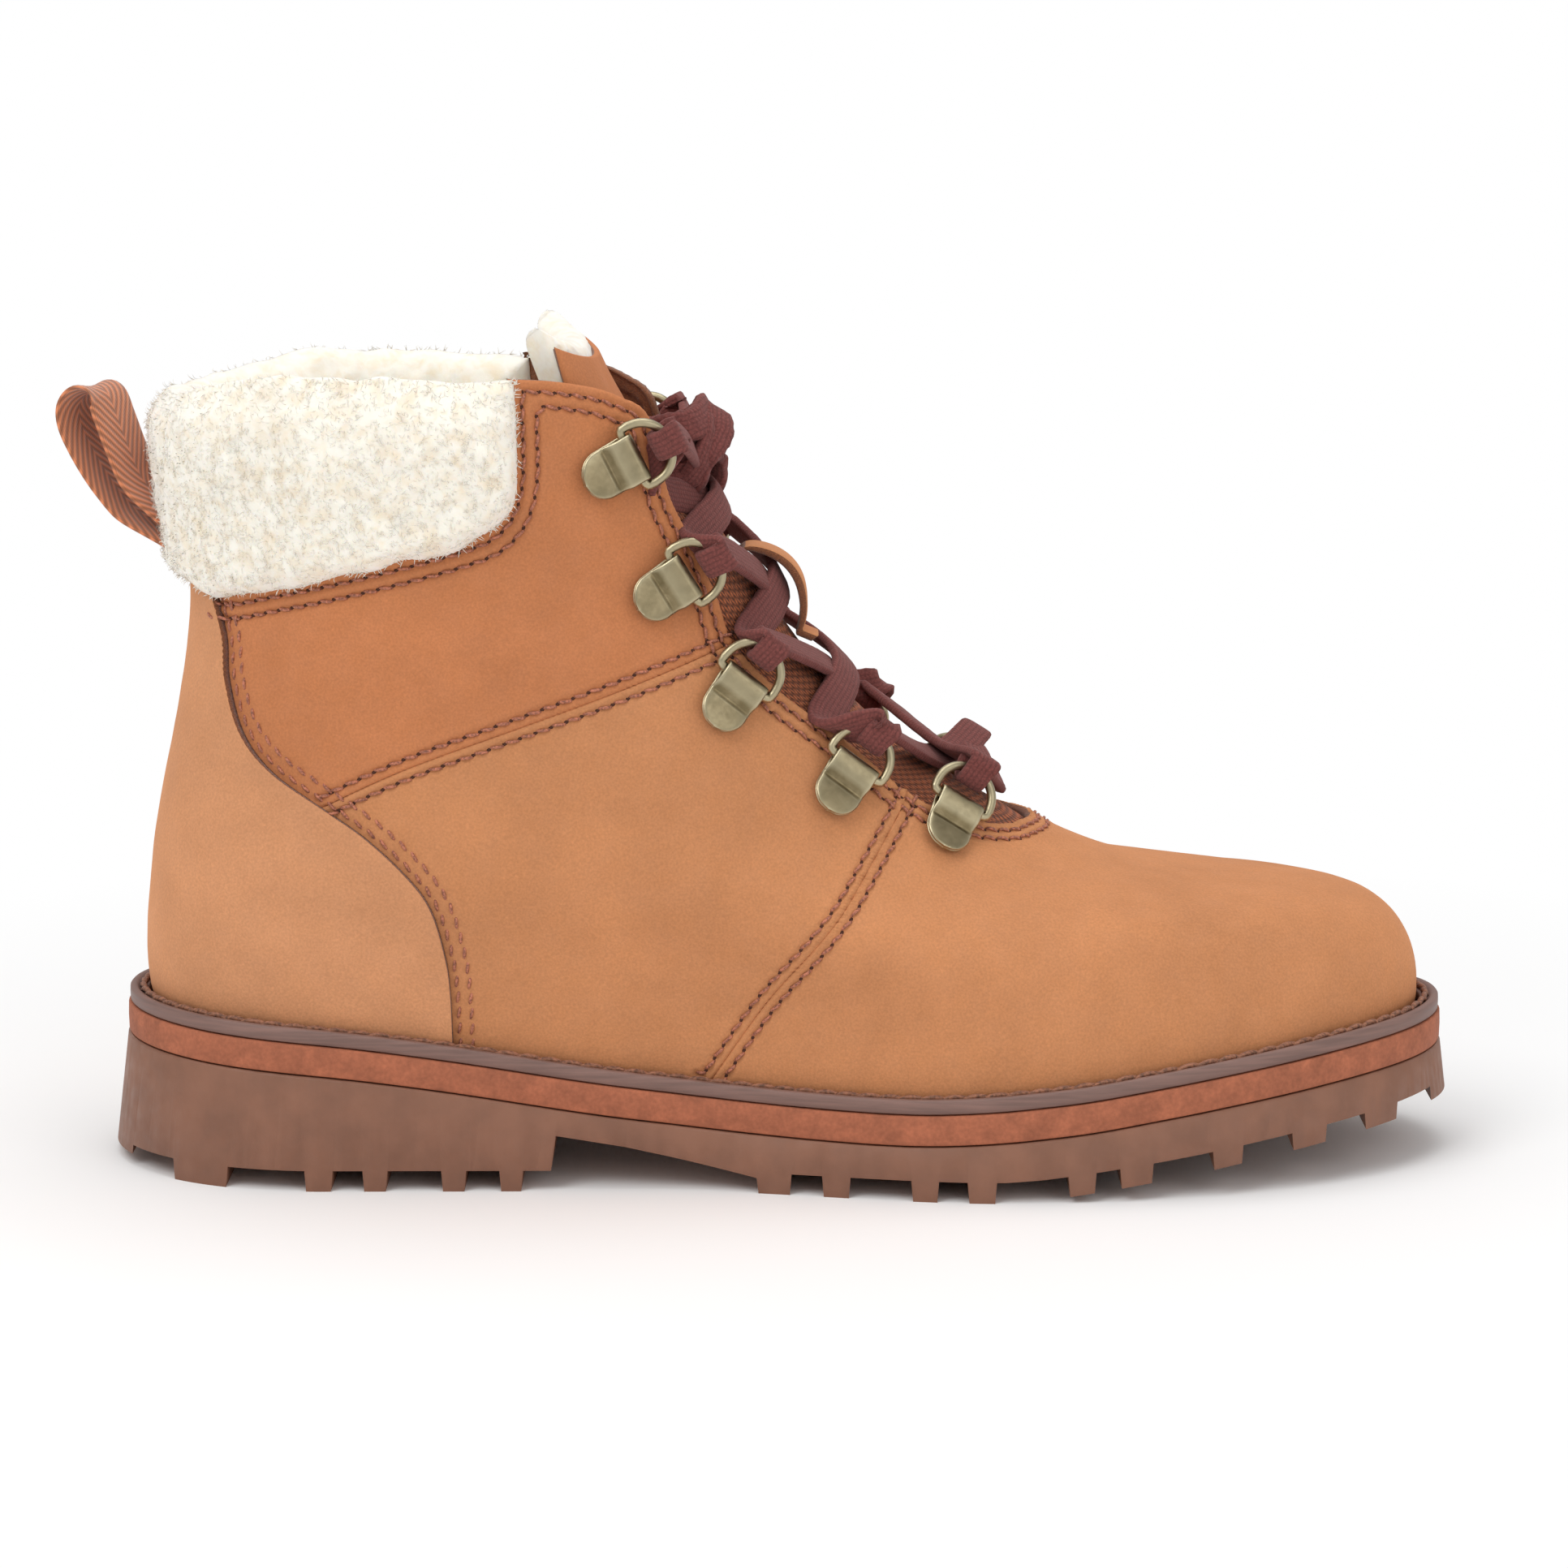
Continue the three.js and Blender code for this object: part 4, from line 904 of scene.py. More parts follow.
def level_line(turn_from, turn_to, level, step=SEAM_STEP):
    """A line at one level, in even steps."""
    turns = np.linspace(turn_from, turn_to, 400)
    return evenly(np.stack([turns, np.full(400, level)], 1), step)


def both_sides(curve, distance):
    """Rows on either side of a seam."""
    return [Row(curve, distance), Row(curve[::-1], distance)]


def build_counter():
    """The heel counter, which laps over the quarters, with two rows at each front edge."""
    top = collar_seam[:at_counter + 1]
    bottom = level_line(2 * np.pi - counter_edge[-1, 0], counter_edge[-1, 0], 0)
    outer_rows = [Row(counter_edge, d) for d in COUNTER_ROWS]
    inner_rows = [Row(behind(counter_edge)[::-1], d) for d in COUNTER_ROWS]
    panel = Panel([(counter_edge[::-1], "lap"), (top[::-1], "free"), (behind(top), "free"),
                   (behind(counter_edge), "lap"), (bottom, "bottom")], outer_rows + inner_rows, seed=2)
    leather_panel("heel_counter_leather", "heel_counter", panel, NUBUCK_PALE)
    return [panel], [(outer_rows, "stitching_counter_outer"), (inner_rows, "stitching_counter_inner")]


def build_vamp():
    """The toe piece, with two rows round the throat's end."""
    throat_all = np.vstack([throat, mirrored(throat)[::-1][1:]])
    throat_end = throat_all[at_vamp:len(throat_all) - at_vamp]
    bottom = level_line(-vamp_seam[-1, 0], vamp_seam[-1, 0], 0)
    end_rows = [Row(throat_end[::-1], d) for d in THROAT_END_ROWS]
    rows = [*both_sides(vamp_seam, SEAM_ROW), *end_rows, *both_sides(mirrored(vamp_seam), SEAM_ROW)]
    panel = Panel([(vamp_seam[::-1], "butt"), (throat_end, "free"), (mirrored(vamp_seam), "butt"),
                   (bottom, "bottom")], rows, seed=5)
    leather_panel("vamp_leather", "vamp", panel, NUBUCK)
    return [panel], [(end_rows, "stitching_throat_end")]


def build_side(side, word):
    """One side's ankle panel and quarter. The opening's rows run on from one to the other."""
    def sided(curve):
        return curve if side > 0 else mirrored(curve)

    def row(curve, distance):
        return Row(sided(curve)[::side], distance)

    opening = np.vstack([collar_seam[at_counter:], throat[1:at_vamp + 1]])[::-1]
    seam_rows = [row(quarter_seam, SEAM_ROW), row(quarter_seam[::-1], SEAM_ROW)]
    front_rows = [row(vamp_seam, SEAM_ROW), row(vamp_seam[::-1], SEAM_ROW)]
    opening_rows = [row(opening, d) for d in OPENING_ROWS]
    ankle_outline = [(counter_edge[:quarter_at_counter + 1][::-1], "under"),
                     (collar_seam[at_counter:], "free"), (throat[:at_quarter + 1], "free"),
                     (quarter_seam[::-1], "butt")]
    bottom = level_line(vamp_seam[-1, 0], counter_edge[-1, 0], 0)
    quarter_outline = [(counter_edge[quarter_at_counter:][::-1], "under"), (quarter_seam, "butt"),
                       (throat[at_quarter:at_vamp + 1], "free"), (vamp_seam, "butt"), (bottom, "bottom")]
    ankle_rows = seam_rows + opening_rows
    ankle, quarter = (Panel([(sided(curve), kind) for curve, kind in outline], rows, seed=seed + side)
                      for outline, rows, seed in ((ankle_outline, ankle_rows, 7),
                                                  (quarter_outline, ankle_rows + front_rows, 11)))
    leather_panel(f"ankle_{word}_leather", f"ankle_{word}", ankle, NUBUCK_DARK)
    leather_panel(f"quarter_{word}_leather", f"quarter_{word}", quarter, NUBUCK)
    return [ankle, quarter], [(opening_rows, f"stitching_opening_{word}"),
                              (seam_rows + front_rows, f"stitching_seams_{word}")]


def build_upper():
    """The leather panels, and the stitching that crosses them."""
    groups = [build_counter(), build_vamp(), *(build_side(side, word) for side, word in SIDES)]
    panels = [panel for made, _ in groups for panel in made]
    for _, stitches in groups:
        for rows, name in stitches:
            stitching(name, rows, panels)


# ---- Fleece and lining ----

# How far the collar's roll stands under (or, negative, out of) the face, by level.
COLLAR_BULGE = [[0.6, -1], [0.68, -3.6], [0.76, -5], [0.84, -5.5], [0.92, -5.5], [0.98, -4.6], [1.02, -2.6],
                [1.05, -1]]
COLLAR_TOP = 1.043
COLLAR_BACK_TOP = 1.0
COLLAR_INNER = 8.0
PILE_RELIEF = 0.7
LINING_DEPTH = (5.4, 8.0)
FOAM_DEPTH = (3.8, 4.7)
LINING_LOW = 0.02
LINING_FRONT = [[0.5, 0.37], [0.22, 0.34], [0, 0.33]]


def clumps(points, seed):
    """Curly tufts of wool pile: rounded lumps with narrow hollows between them, from -1 to about 1."""
    warp = np.stack([noise(points, 4.5, seed + i) for i in (11, 12, 13)], 1) * 1.3
    p = points + warp
    big = 1 - 1.9 * np.abs(noise(p, 4.6, seed)) ** 0.8
    small = 1 - 2 * np.abs(noise(p, 1.9, seed + 1))
    return 0.55 * big + 0.28 * small + 0.35 * noise(points, 13, seed + 2)


def fibres(name, points, normals, count, length, seed):
    """Short curled strands of wool standing on a surface."""
    rng = np.random.default_rng(seed)
    chosen = rng.integers(0, len(points), count)
    root, out = points[chosen], normals[chosen]
    lean = unit(rng.normal(size=(count, 3)))
    across = unit(np.cross(out, lean))
    curl = unit(np.cross(out, across))
    k = np.array([0.0, 0.35, 0.7, 1.0])
    size = length * rng.uniform(0.6, 1.2, count)[:, None]
    rise = size * np.sin(k * 1.7)[None] * rng.uniform(0.35, 0.8, count)[:, None]
    swing = size * (1 - np.cos(k * 2.1))[None] * 0.55
    middle = root[:, None] + out[:, None] * (rise[..., None] - 0.3) + curl[:, None] * swing[..., None]
    width = np.array([0.11, 0.1, 0.07, 0.02])[None, :, None]
    left, right = middle + across[:, None] * width, middle - across[:, None] * width
    ridge = middle + out[:, None] * width * 0.8
    rings = np.stack([left, ridge, right], 2).reshape(-1, 3)
    start = np.arange(count)[:, None] * 12
    quads = []
    for j in range(3):
        for i in range(3):
            a, b = 3 * j + i, 3 * j + (i + 1) % 3
            quads.append(np.hstack([start + a, start + b, start + b + 3, start + a + 3]))
    ends = [np.hstack([start + 2, start + 1, start]), np.hstack([start + 9, start + 10, start + 11])]
    faces = np.vstack(quads).tolist() + np.vstack(ends).tolist()
    finished(make_object(name, rings, faces, [FLEECE]), None)


def pile_sheet(name, node, loop, depths, seed, round_over=4.5, spacing=0.85, edge_depth=None):
    """A thick sheet of wool pile with rounded edges. depths(curve) gives its outer and inner depth."""
    curve, faces = face_mesh(loop, coarse=spacing, fine=spacing, band=0.1, rims=(0.35,))
    points = on_face(curve)
    away = distance_to(points, on_face(evenly(np.vstack([loop, loop[:1]]), 0.4)))
    outside, within = depths(curve)
    middle = (outside + within) / 2 if edge_depth is None else edge_depth
    radius = mix(round_over, 2 * round_over, smooth((curve[:, 1] - 0.9) / 0.12))
    round_in = rounded(away / radius)
    tufts = PILE_RELIEF * clumps(points, seed) * smooth(away / 2.5 + 0.35)
    inner_tufts = PILE_RELIEF * 0.7 * clumps(points + 40, seed) * smooth(away / 2.5)
    top = mix(middle - 0.6, outside, round_in) - tufts
    bottom = mix(middle + 0.6, within, round_in) + inner_tufts
    finished(shell(name, curve, faces, top, bottom, [FLEECE]), node)
    return curve, top


def build_collar():
    """The fleece roll above the leather. Its lower edge spills a little over the leather."""
    wander = inset(np.vstack([collar_seam, throat[1:4]]), -0.9, 0.5)
    ragged = wander.copy()
    ragged[:, 1] += 0.006 * noise(on_face(wander), 5.5, 4) * smooth((ragged[:, 0] - 0.9) / 0.2)
    ragged[0, 0] = np.pi
    front = ragged[-1]
    top_turns = np.linspace(front[0], 2 * np.pi - front[0], 500)
    to_heel = smooth((np.minimum(top_turns, 2 * np.pi - top_turns) - 2.1) / 0.95)
    height = mix(COLLAR_TOP, COLLAR_BACK_TOP, to_heel)
    top = evenly(np.stack([top_turns, height], 1), 0.8)
    top[:, 1] += 0.007 * noise(on_face(top), 16, 6) + 0.005 * noise(on_face(top), 5, 8)
    up = evenly(np.array([front, top[0]]), 0.8)
    loop = np.vstack([ragged[:-1], up[:-1], top, behind(up)[::-1][1:-1], behind(ragged)[::-1][:-1]])
    bulge = through(COLLAR_BULGE)

    def depths(curve):
        return bulge(curve[:, 1])[:, 0], np.full(len(curve), COLLAR_INNER)

    curve, depth = pile_sheet("fleece_collar_pile", "fleece_collar", loop, depths, 3, edge_depth=1.0)
    fibres("fleece_collar_fibres", under_face(curve, depth), face_normal(*curve.T), 11000, 1.5, 5)


def lining_loop(collar_gap, throat_gap):
    """Outline of a layer inside the upper, right round the boot from the toe line back to the toe line."""
    collar_part = inset(collar_seam[::-1], collar_gap)[::-1]
    throat_part = inset(throat[::-1], throat_gap)[::-1]
    collar_part = collar_part[collar_part[:, 0] > throat_part[0, 0] + 0.05]
    collar_part[0, 0] = np.pi
    low, front = LINING_LOW, LINING_FRONT[-1][1]
    side = evenly(np.vstack([collar_part, throat_part[throat_part[:, 1] > 0.46], LINING_FRONT]), 1.0)
    base = level_line(0, 2 * np.pi, low, 1.2)
    rise = evenly(np.array([[2 * np.pi, low], [2 * np.pi, front]]), 1.0)
    fall = evenly(np.array([[0.0, front], [0.0, low]]), 1.0)
    return np.vstack([part[:-1] for part in (base, rise, behind(side)[::-1], side, fall)])


def build_lining():
    """The fleece lining, and the foam between it and the leather."""
    def depths(curve):
        return [np.full(len(curve), depth) for depth in LINING_DEPTH]

    pile_sheet("fleece_lining_pile", "fleece_lining", lining_loop(-1.5, 15), depths, 9, 2, spacing=1.5)
    curve, faces = face_mesh(lining_loop(4, 16), coarse=3, fine=3, band=0.1, rims=())
    outside, within = (depth + 0.08 * noise(on_face(curve), 6, 8) for depth in FOAM_DEPTH)
    finished(shell("foam_padding", curve, faces, outside, within, [FOAM]), "foam_layer")


# ---- Tongue ----

TONGUE_EDGE = 3.1
TONGUE_START_EDGE = 2.1
# Depth of the tongue's middle under the face, by level.
TONGUE_DEPTH = [[0.4, 2.1], [0.45, 2.2], [0.5, 3.2], [0.58, 4.6], [0.66, 5.1], [0.74, 5.7], [0.84, 8.3],
                [0.92, 11.5], [1, 15.3], [1.06, 18.4], [1.16, 21.8]]
# Where the patch and the fleece above the knot start to bend, and where they bend no further, in metres.
TONGUE_FOLD = ((0.064, 0, 0.155), (0.058, 0, 0.166))
tongue_depth = through(TONGUE_DEPTH)


def tongue_point(k, level):
    """A point of the tongue's face. k runs from -1 at the inner edge through 0 to 1 at the outer edge."""
    k, level = np.broadcast_arrays(np.asarray(k, float), np.asarray(level, float))
    half_turn = mix(0.5, 1.02, smooth((level - 0.41) / 0.13))
    edge = mix(TONGUE_START_EDGE, TONGUE_EDGE, smooth((level - 0.44) / 0.06))
    outer, inner = layer_point(half_turn, level, edge), layer_point(-half_turn, level, edge)
    middle = (outer + inner) / 2
    rise = layer_point(np.zeros(level.shape), level, tongue_depth(level)[..., 0]) - middle
    reach = np.where((k < 0)[..., None], inner, outer) - middle
    angle = (np.abs(k) * np.pi / 2)[..., None]
    return middle + reach * np.sin(angle) + rise * np.maximum(0, np.cos(angle)) ** 1.15


def tongue_normal(k, level):
    d = 1e-3
    along = tongue_point(k + d, level) - tongue_point(k - d, level)
    climb = tongue_point(k, level + d) - tongue_point(k, level - d)
    return unit(np.cross(climb, along))


def tongue_layer(k, level, depth):
    return tongue_point(k, level) - tongue_normal(k, level) * np.asarray(depth)[..., None]


def grid_solid(name, top, bottom, materials, flat=None, edge_index=0):
    """A closed sheet between two grids of points, rows x columns x 3."""
    rows, columns, _ = top.shape
    n = rows * columns
    quads = grid_faces(rows, columns)
    ids = np.arange(n).reshape(rows, columns)
    border = [*ids[0], *ids[1:, -1], *ids[-1, -2::-1], *ids[-2:0:-1, 0]]
    walls = [(here, last, last + n, here + n) for last, here in zip(border[-1:] + border[:-1], border)]
    faces = quads.tolist() + (quads[:, ::-1] + n).tolist() + walls
    index = [0] * len(quads) + [edge_index] * (len(quads) + len(walls))
    flat_all = None if flat is None else np.vstack([flat.reshape(-1, 3)] * 2)
    points = np.vstack([top.reshape(-1, 3), bottom.reshape(-1, 3)])
    return outward(make_object(name, points, faces, materials, index, flat_all))


def outward(obj):
    """Turns a closed mesh's faces outwards."""
    work = bmesh.new()
    work.from_mesh(obj.data)
    bmesh.ops.recalc_face_normals(work, faces=work.faces)
    if work.calc_volume(signed=True) < 0:
        bmesh.ops.reverse_faces(work, faces=work.faces)
    work.to_mesh(obj.data)
    work.free()
    return obj


def flat_of(points):
    """Each grid point's distance across and along the sheet, from its middle line and first row."""
    across = np.linalg.norm(np.diff(points, axis=1), axis=2).cumsum(1)
    across = np.concatenate([np.zeros((len(points), 1)), across], 1)
    across = across - across[:, across.shape[1] // 2][:, None]
    along = np.linalg.norm(np.diff(points, axis=0), axis=2).cumsum(0)
    along = np.concatenate([np.zeros((1, points.shape[1])), along], 0)
    along = np.broadcast_to(along[:, along.shape[1] // 2][:, None], across.shape)
    return np.stack([across, along, np.zeros(across.shape)], -1)


def tongue_sheet(name, levels, share, depths, shape, materials, relief, round_over=1.0, edge_index=0):
    """A sheet of the tongue. relief(points, flat) gives how far its face stands out."""
    rows, columns = shape
    level, k = np.meshgrid(np.linspace(*levels, rows), np.linspace(-share, share, columns), indexing="ij")
    base = tongue_point(k, level)
    flat = flat_of(base)
    half = np.abs(flat[:, :1, 0]), np.abs(flat[:, -1:, 0])
    away = np.minimum.reduce([flat[..., 0] + half[0], half[1] - flat[..., 0], flat[..., 1],
                              flat[-1:, :, 1] - flat[..., 1]])
    middle = sum(depths) / 2
    round_in = rounded(away / round_over)
    lift = relief(base.reshape(-1, 3), flat.reshape(-1, 3)).reshape(base.shape[:2])
    top = tongue_layer(k, level, mix(middle - 0.1, depths[0], round_in) - lift * smooth(away / round_over))
    bottom = tongue_layer(k, level, mix(middle + 0.1, depths[1], round_in))
    return grid_solid(name, top, bottom, materials, flat, edge_index)


def build_tongue():
    def knitted(points, flat):
        wale = np.abs((flat[:, 0] + WALE_SHIFT) % (2 * WALE) - WALE)
        return 0.22 * np.sin(wale / WALE * np.pi) + 0.2 * noise(points, 7, 3)

    def brushed(points, flat):
        return 0.25 * noise(points, 9, 5)

    def tufted(points, flat):
        return 0.8 * clumps(points, 8)

    textile = tongue_sheet("tongue_textile", (0.41, 1.03), 0.95, (0, 1.8), (190, 110), [KNIT], knitted)
    lining = tongue_sheet("tongue_lining_pile", (0.47, 1.03), 0.8, (2.2, 5.2), (100, 46), [FLEECE], tufted,
                          2.5)
    patch = tongue_sheet("tongue_patch_leather", (1.026, 1.088), 0.9, (-0.5, 1.4), (30, 90),
                         [NUBUCK_DARK, RAW_EDGE], brushed, 0.6, 1)
    top = tongue_sheet("tongue_top_pile", (1.04, 1.118), 0.88, (1.2, 8.5), (34, 90), [FLEECE], tufted, 3.6)
    finished(textile, "tongue")
    finished(lining, "tongue_lining")
    bending(patch, "tongue_patch", "nubuck_dark", "tongue_top", *TONGUE_FOLD)
    bending(top, "tongue_fleece_top", "fleece", "tongue_top", *TONGUE_FOLD)


def build_gussets():
    """The folded knit that joins the tongue's sides to the quarters."""
    columns = 24
    fold = 0.18 * np.sin(np.linspace(0, 3 * np.pi, columns))[None]
    for side, word in SIDES:
        turns = side * np.linspace(1.06, 1.34, columns)
        level, turn = np.meshgrid(np.linspace(0.56, 0.8, 60), turns, indexing="ij")
        top, bottom = layer_point(turn, level, 2.35 + fold), layer_point(turn, level, 3.25 + fold)
        made = grid_solid(f"gusset_{word}_knit", top, bottom, [KNIT], flat_of(top))
        finished(made, f"gusset_{word}")


# ---- Ribbons: lace, keeper, pull loop ----

RIBBON_STEP = 0.55


def ribbon_line(stations, shares, closed=False):
    """A smooth line through stations of (point, width direction), each with its share of the width."""
    points = np.array([p for p, _ in stations], float)
    across = np.array([a for _, a in stations], float)
    for i in range(1, len(across)):
        if across[i] @ across[i - 1] < 0:
            across[i] = -across[i]
    weight = 8  # makes turns of the width count as length in the spline's steps
    stations = np.hstack([points, weight * across, weight * np.array(shares)[:, None]])
    line = spline(stations, RIBBON_STEP, closed)
    if not closed:
        line[:, :3] = averaged(line[:, :3], 5)
        line[:, 3:] = averaged(line[:, 3:], 9)
    return np.hstack([line[:, :3], line[:, 3:] / weight])


EDGE_ROUNDING = 0.6  # of a strip's section: 1 is an ellipse, 0 a box


def averaged(values, window):
    """Each row's average with its neighbours. The first and last rows stay as they are."""
    around = np.pad(values, ((window // 2, window // 2), (0, 0)), mode="edge")
    made = np.stack([around[i:i + len(values)] for i in range(window)]).mean(0)
    made[0], made[-1] = values[0], values[-1]
    return made


def ribbon(name, line, materials, thickness, width, ribs, rib_pitch, fuzz, closed=False, seed=1, sides=22,
           corner=0.5):
    """A flat strip with rounded edges along a ribbon line. ribs and fuzz raise its surface."""
    path, wide, share = line[:, :3], line[:, 3:6], line[:, 6]
    along = unit(np.roll(path, -1, 0) - np.roll(path, 1, 0)) if closed else unit(np.gradient(path, axis=0))
    wide = unit(wide - along * (wide * along).sum(1)[:, None])
    thick = np.cross(along, wide)
    angle = np.linspace(0, 2 * np.pi, sides, endpoint=False)
    c, s = np.cos(angle), np.sin(angle)
    across_unit = np.sign(c) * np.abs(c) ** corner
    up_unit = np.sign(s) * np.abs(s) ** EDGE_ROUNDING
    half = width / 2 * share[:, None] * across_unit[None]
    rise = up_unit * (thickness / 2 + ribs * (np.abs(np.sin(np.pi * half / rib_pitch)) - 0.5))
    body = path[:, None] + wide[:, None] * half[..., None] + thick[:, None] * rise[..., None]
    points = body.reshape(-1, 3)
    out = unit(points - np.repeat(path, sides, 0))
    lift = fuzz * (noise(points, 1.1, seed) + 0.7 * noise(points, 3.2, seed + 1))
    flat = np.stack([half, np.broadcast_to(run_along(path)[:, None], half.shape), np.zeros(half.shape)], -1)
    faces = grid_faces(len(path), sides, wrap_rows=closed, wrap_columns=True).tolist()
    if not closed:
        faces += end_caps(len(path), sides)
    points = points + out * lift[:, None]
    return outward(make_object(name, points, faces, materials, None, flat.reshape(-1, 3)))


class Hinge:
    """Where a ring turns: origin on its bar, pull to the lacing, bar along the pin, out of the leather."""

    def __init__(self, joint):
        self.name = joint["child"].removeprefix("ring_")
        self.body = joint["child"]
        self.side = 1 if "outer" in joint["child"] else -1
        self.index = int(joint["child"][-1]) - 1
        self.origin = np.array(joint["pos_m"]) * 1000
        self.bar = -np.array(joint["axis"], float)
        foot = self.origin
        for _ in range(4):
            turn, level = face_at(foot[0], foot[2], self.side)
            normal = face_normal(turn, level)
            foot = self.origin - normal * CLIP["stand"]
        self.pull = unit(np.cross(self.bar, normal))
        self.out = np.cross(self.pull, self.bar)

    def place(self, points):
        """Points given along pull, bar and out, in the boot's own frame."""
        return self.origin + points @ np.stack([self.pull, self.bar, self.out])


CLIP = {"width": 10, "length": 11.5, "barrel": 1.95, "sheet": 0.6, "stand": 2.9, "flat": 5.6, "edge": 0.16,
        "dome": 0.28}
RING = {"wire": 0.95, "half_width": 6.4, "reach": 8.2, "shoulder": 1.4, "tilt": np.radians(20)}
# bend is the radius round a ring's bow, low the height over the tongue, reach how far the wrap runs on.
LACE = {"width": 8.2, "thickness": 2.1, "bend": 2.6, "low": 2.0, "reach": 2.4, "ribs": 0.06}
SHORTEST_RUN = 0.06  # in level: a strand shorter than this has no drape over the tongue's side
BAR_LEVEL = 0.5
KNOT_LEVEL = 0.98
CROSSINGS = [0.875, 0.765, 0.66, 0.545]
KNOT = np.array([78.0, 0, 147.5])
KNOT_ENTRY = np.array([-0.35, 0.1, 1.0])
# The knot's loops: centre from the knot's, one half axis, the other half axis, width.
KNOT_LOOPS = [
    ([1.5, 0, 0.5], [4.6, 0, 7.4], [-1.5, 6.2, 1.0], 6.4),
    ([-1.0, 0, 5.5], [4.6, 1.5, 2.0], [-1.0, 8.5, -1.5], 6.8),
    ([2.2, 0.5, -5.5], [3.4, -1.0, 5.2], [2.0, 6.0, -1.0], 5.8),
    ([0.5, -3.0, 1.0], [3.8, 3.0, 6.5], [-2.0, 4.2, 3.0], 5.6),
]
hinges = [Hinge(joint) for joint in frame["joints"] if joint["child"].startswith("ring_")]


def hinge_of(side, index):
    return next(h for h in hinges if h.side == side and h.index == index)


def clip_line():
    """The plate's side view, upper leaf, bend and lower leaf, and how many points the upper leaf has."""
    sheet, length = CLIP["sheet"], CLIP["length"]
    mid = CLIP["barrel"] - sheet / 2
    turn = np.linspace(0.62 * np.pi, -0.5 * np.pi, 26)
    bend = np.stack([mid * np.cos(turn), mid * np.sin(turn)], 1)
    top, floor = sheet - mid, -mid
    upper = np.stack([np.linspace(-length, -CLIP["flat"], 22), np.full(22, top)], 1)
    slope = np.array([[-5.0, top], [-4.3, top + 0.25], [-3.2, mid * 0.62]])
    under = np.stack([np.linspace(-0.6, -length, 26), np.full(26, floor)], 1)
    return np.vstack([upper, slope, bend, under]), len(upper) + len(slope)


def build_clip(hinge):
    """A brass plate folded round the ring's bar: rounded at its free end, with a raised band over the bar."""
    half, sheet, soft = CLIP["width"] / 2, CLIP["sheet"], CLIP["edge"]
    line, upper_count = clip_line()
    ahead = unit(np.gradient(line, axis=0))
    normal = np.stack([-ahead[:, 1], ahead[:, 0]], 1)
    corner = half - CLIP["length"]
    share = np.clip((corner - line[:, 0]) / half, 0, 0.9999)
    round_end = np.sqrt(1 - share**2)
    steps = np.linspace(-1, 1, 23)
    on_plate = (line[:, 0] < -5) & (np.arange(len(line)) < upper_count)
    dome = CLIP["dome"] * (round_end * on_plate)[:, None] * (1 - steps**4)
    sheets = []
    for face in (1, -1):
        offset = face * (sheet / 2 - soft * np.abs(steps) ** 10)
        place = line[:, None] + normal[:, None] * offset[None, :, None]
        y = half * round_end[:, None] * steps * (1 - 0.01 * (face < 0))
        shape = np.stack([place[..., 0], y, place[..., 1] + dome], -1)
        sheets.append(hinge.place(shape.reshape(-1, 3)).reshape(shape.shape))
    plate = grid_solid(f"clip_{hinge.name}_plate", *sheets, [BRASS])
    finished(plate, f"clip_{hinge.name}")
    floor = sheet / 2 - CLIP["barrel"]
    path = np.array([[corner, 0, floor - depth] for depth in (-0.2, 1.0, 2.0, 3.0)])
    points, faces = tube(path, [1.6, 1.6, 1.6, 1.9], 14)
    stud = outward(make_object(f"clip_{hinge.name}_stud", hinge.place(points), faces, [BRASS]))
    finished(stud, None)


def build_ring(hinge):
    """A D-ring of round wire. Its bar turns in the clip."""
    reach, half, tilt = RING["reach"], RING["half_width"], RING["tilt"]
    a = np.linspace(0, np.pi, 40)
    shoulder, bar_end = RING["shoulder"], half - 1.3
    bow = np.stack([shoulder + (reach - shoulder) * np.sin(a) ** 0.85, half * np.cos(a), 0 * a], 1)
    line = spline(np.vstack([[0, bar_end, 0], bow, [0, -bar_end, 0]]), 0.5, closed=True)
    turned = np.stack([line[:, 0] * np.cos(tilt), line[:, 1], line[:, 0] * np.sin(tilt)], 1)
    points, faces = tube(hinge.place(turned), RING["wire"], 14, closed=True)
    made = outward(make_object(f"ring_{hinge.name}_wire", points, faces, [BRASS]))
    finished(made, f"ring_{hinge.name}", hinge.body)


def ridge(level, height):
    """A place over the middle of the tongue."""
    return tongue_layer(np.zeros(()), np.asarray(level, float), np.asarray(-height, float))


def crossing(index, side, come_from):
    """Where a strand crosses the middle of the tongue. Strands that come from the outer side lie on top."""
    level = CROSSINGS[index - 1]
    height = LACE["low"] + (LACE["thickness"] + 0.4 if side > 0 else 0)
    run = hinge_of(-side, index - 1).origin - come_from
    return ridge(level, height), unit(np.cross(run, face_normal(0.0, level)))


def wrap(hinge):
    """The lace round a ring's bow, from underneath, through the opening, to the top."""
    tilt = RING["tilt"]
    reach = hinge.pull * np.cos(tilt) + hinge.out * np.sin(tilt)
    over = hinge.out * np.cos(tilt) - hinge.pull * np.sin(tilt)
    centre = hinge.origin + reach * (RING["reach"] - 0.35)
    bend, away = LACE["bend"], reach * LACE["reach"]
    angles = np.linspace(-np.pi / 2, -1.5 * np.pi, 5)
    turn = [centre + reach * bend * np.cos(a) + over * bend * np.sin(a) for a in angles]
    stations = [centre + away - over * bend * 0.95, *turn, centre + away + over * bend * 1.05]
    return [(p, hinge.bar) for p in stations]


def draped(side, level, height, come_from, go_to):
    """Where a strand lies over the side of the tongue."""
    k = 0.56 * side
    point = tongue_layer(np.asarray(k), np.asarray(level), np.asarray(-height))
    return point, unit(np.cross(go_to - come_from, tongue_normal(k, level)))


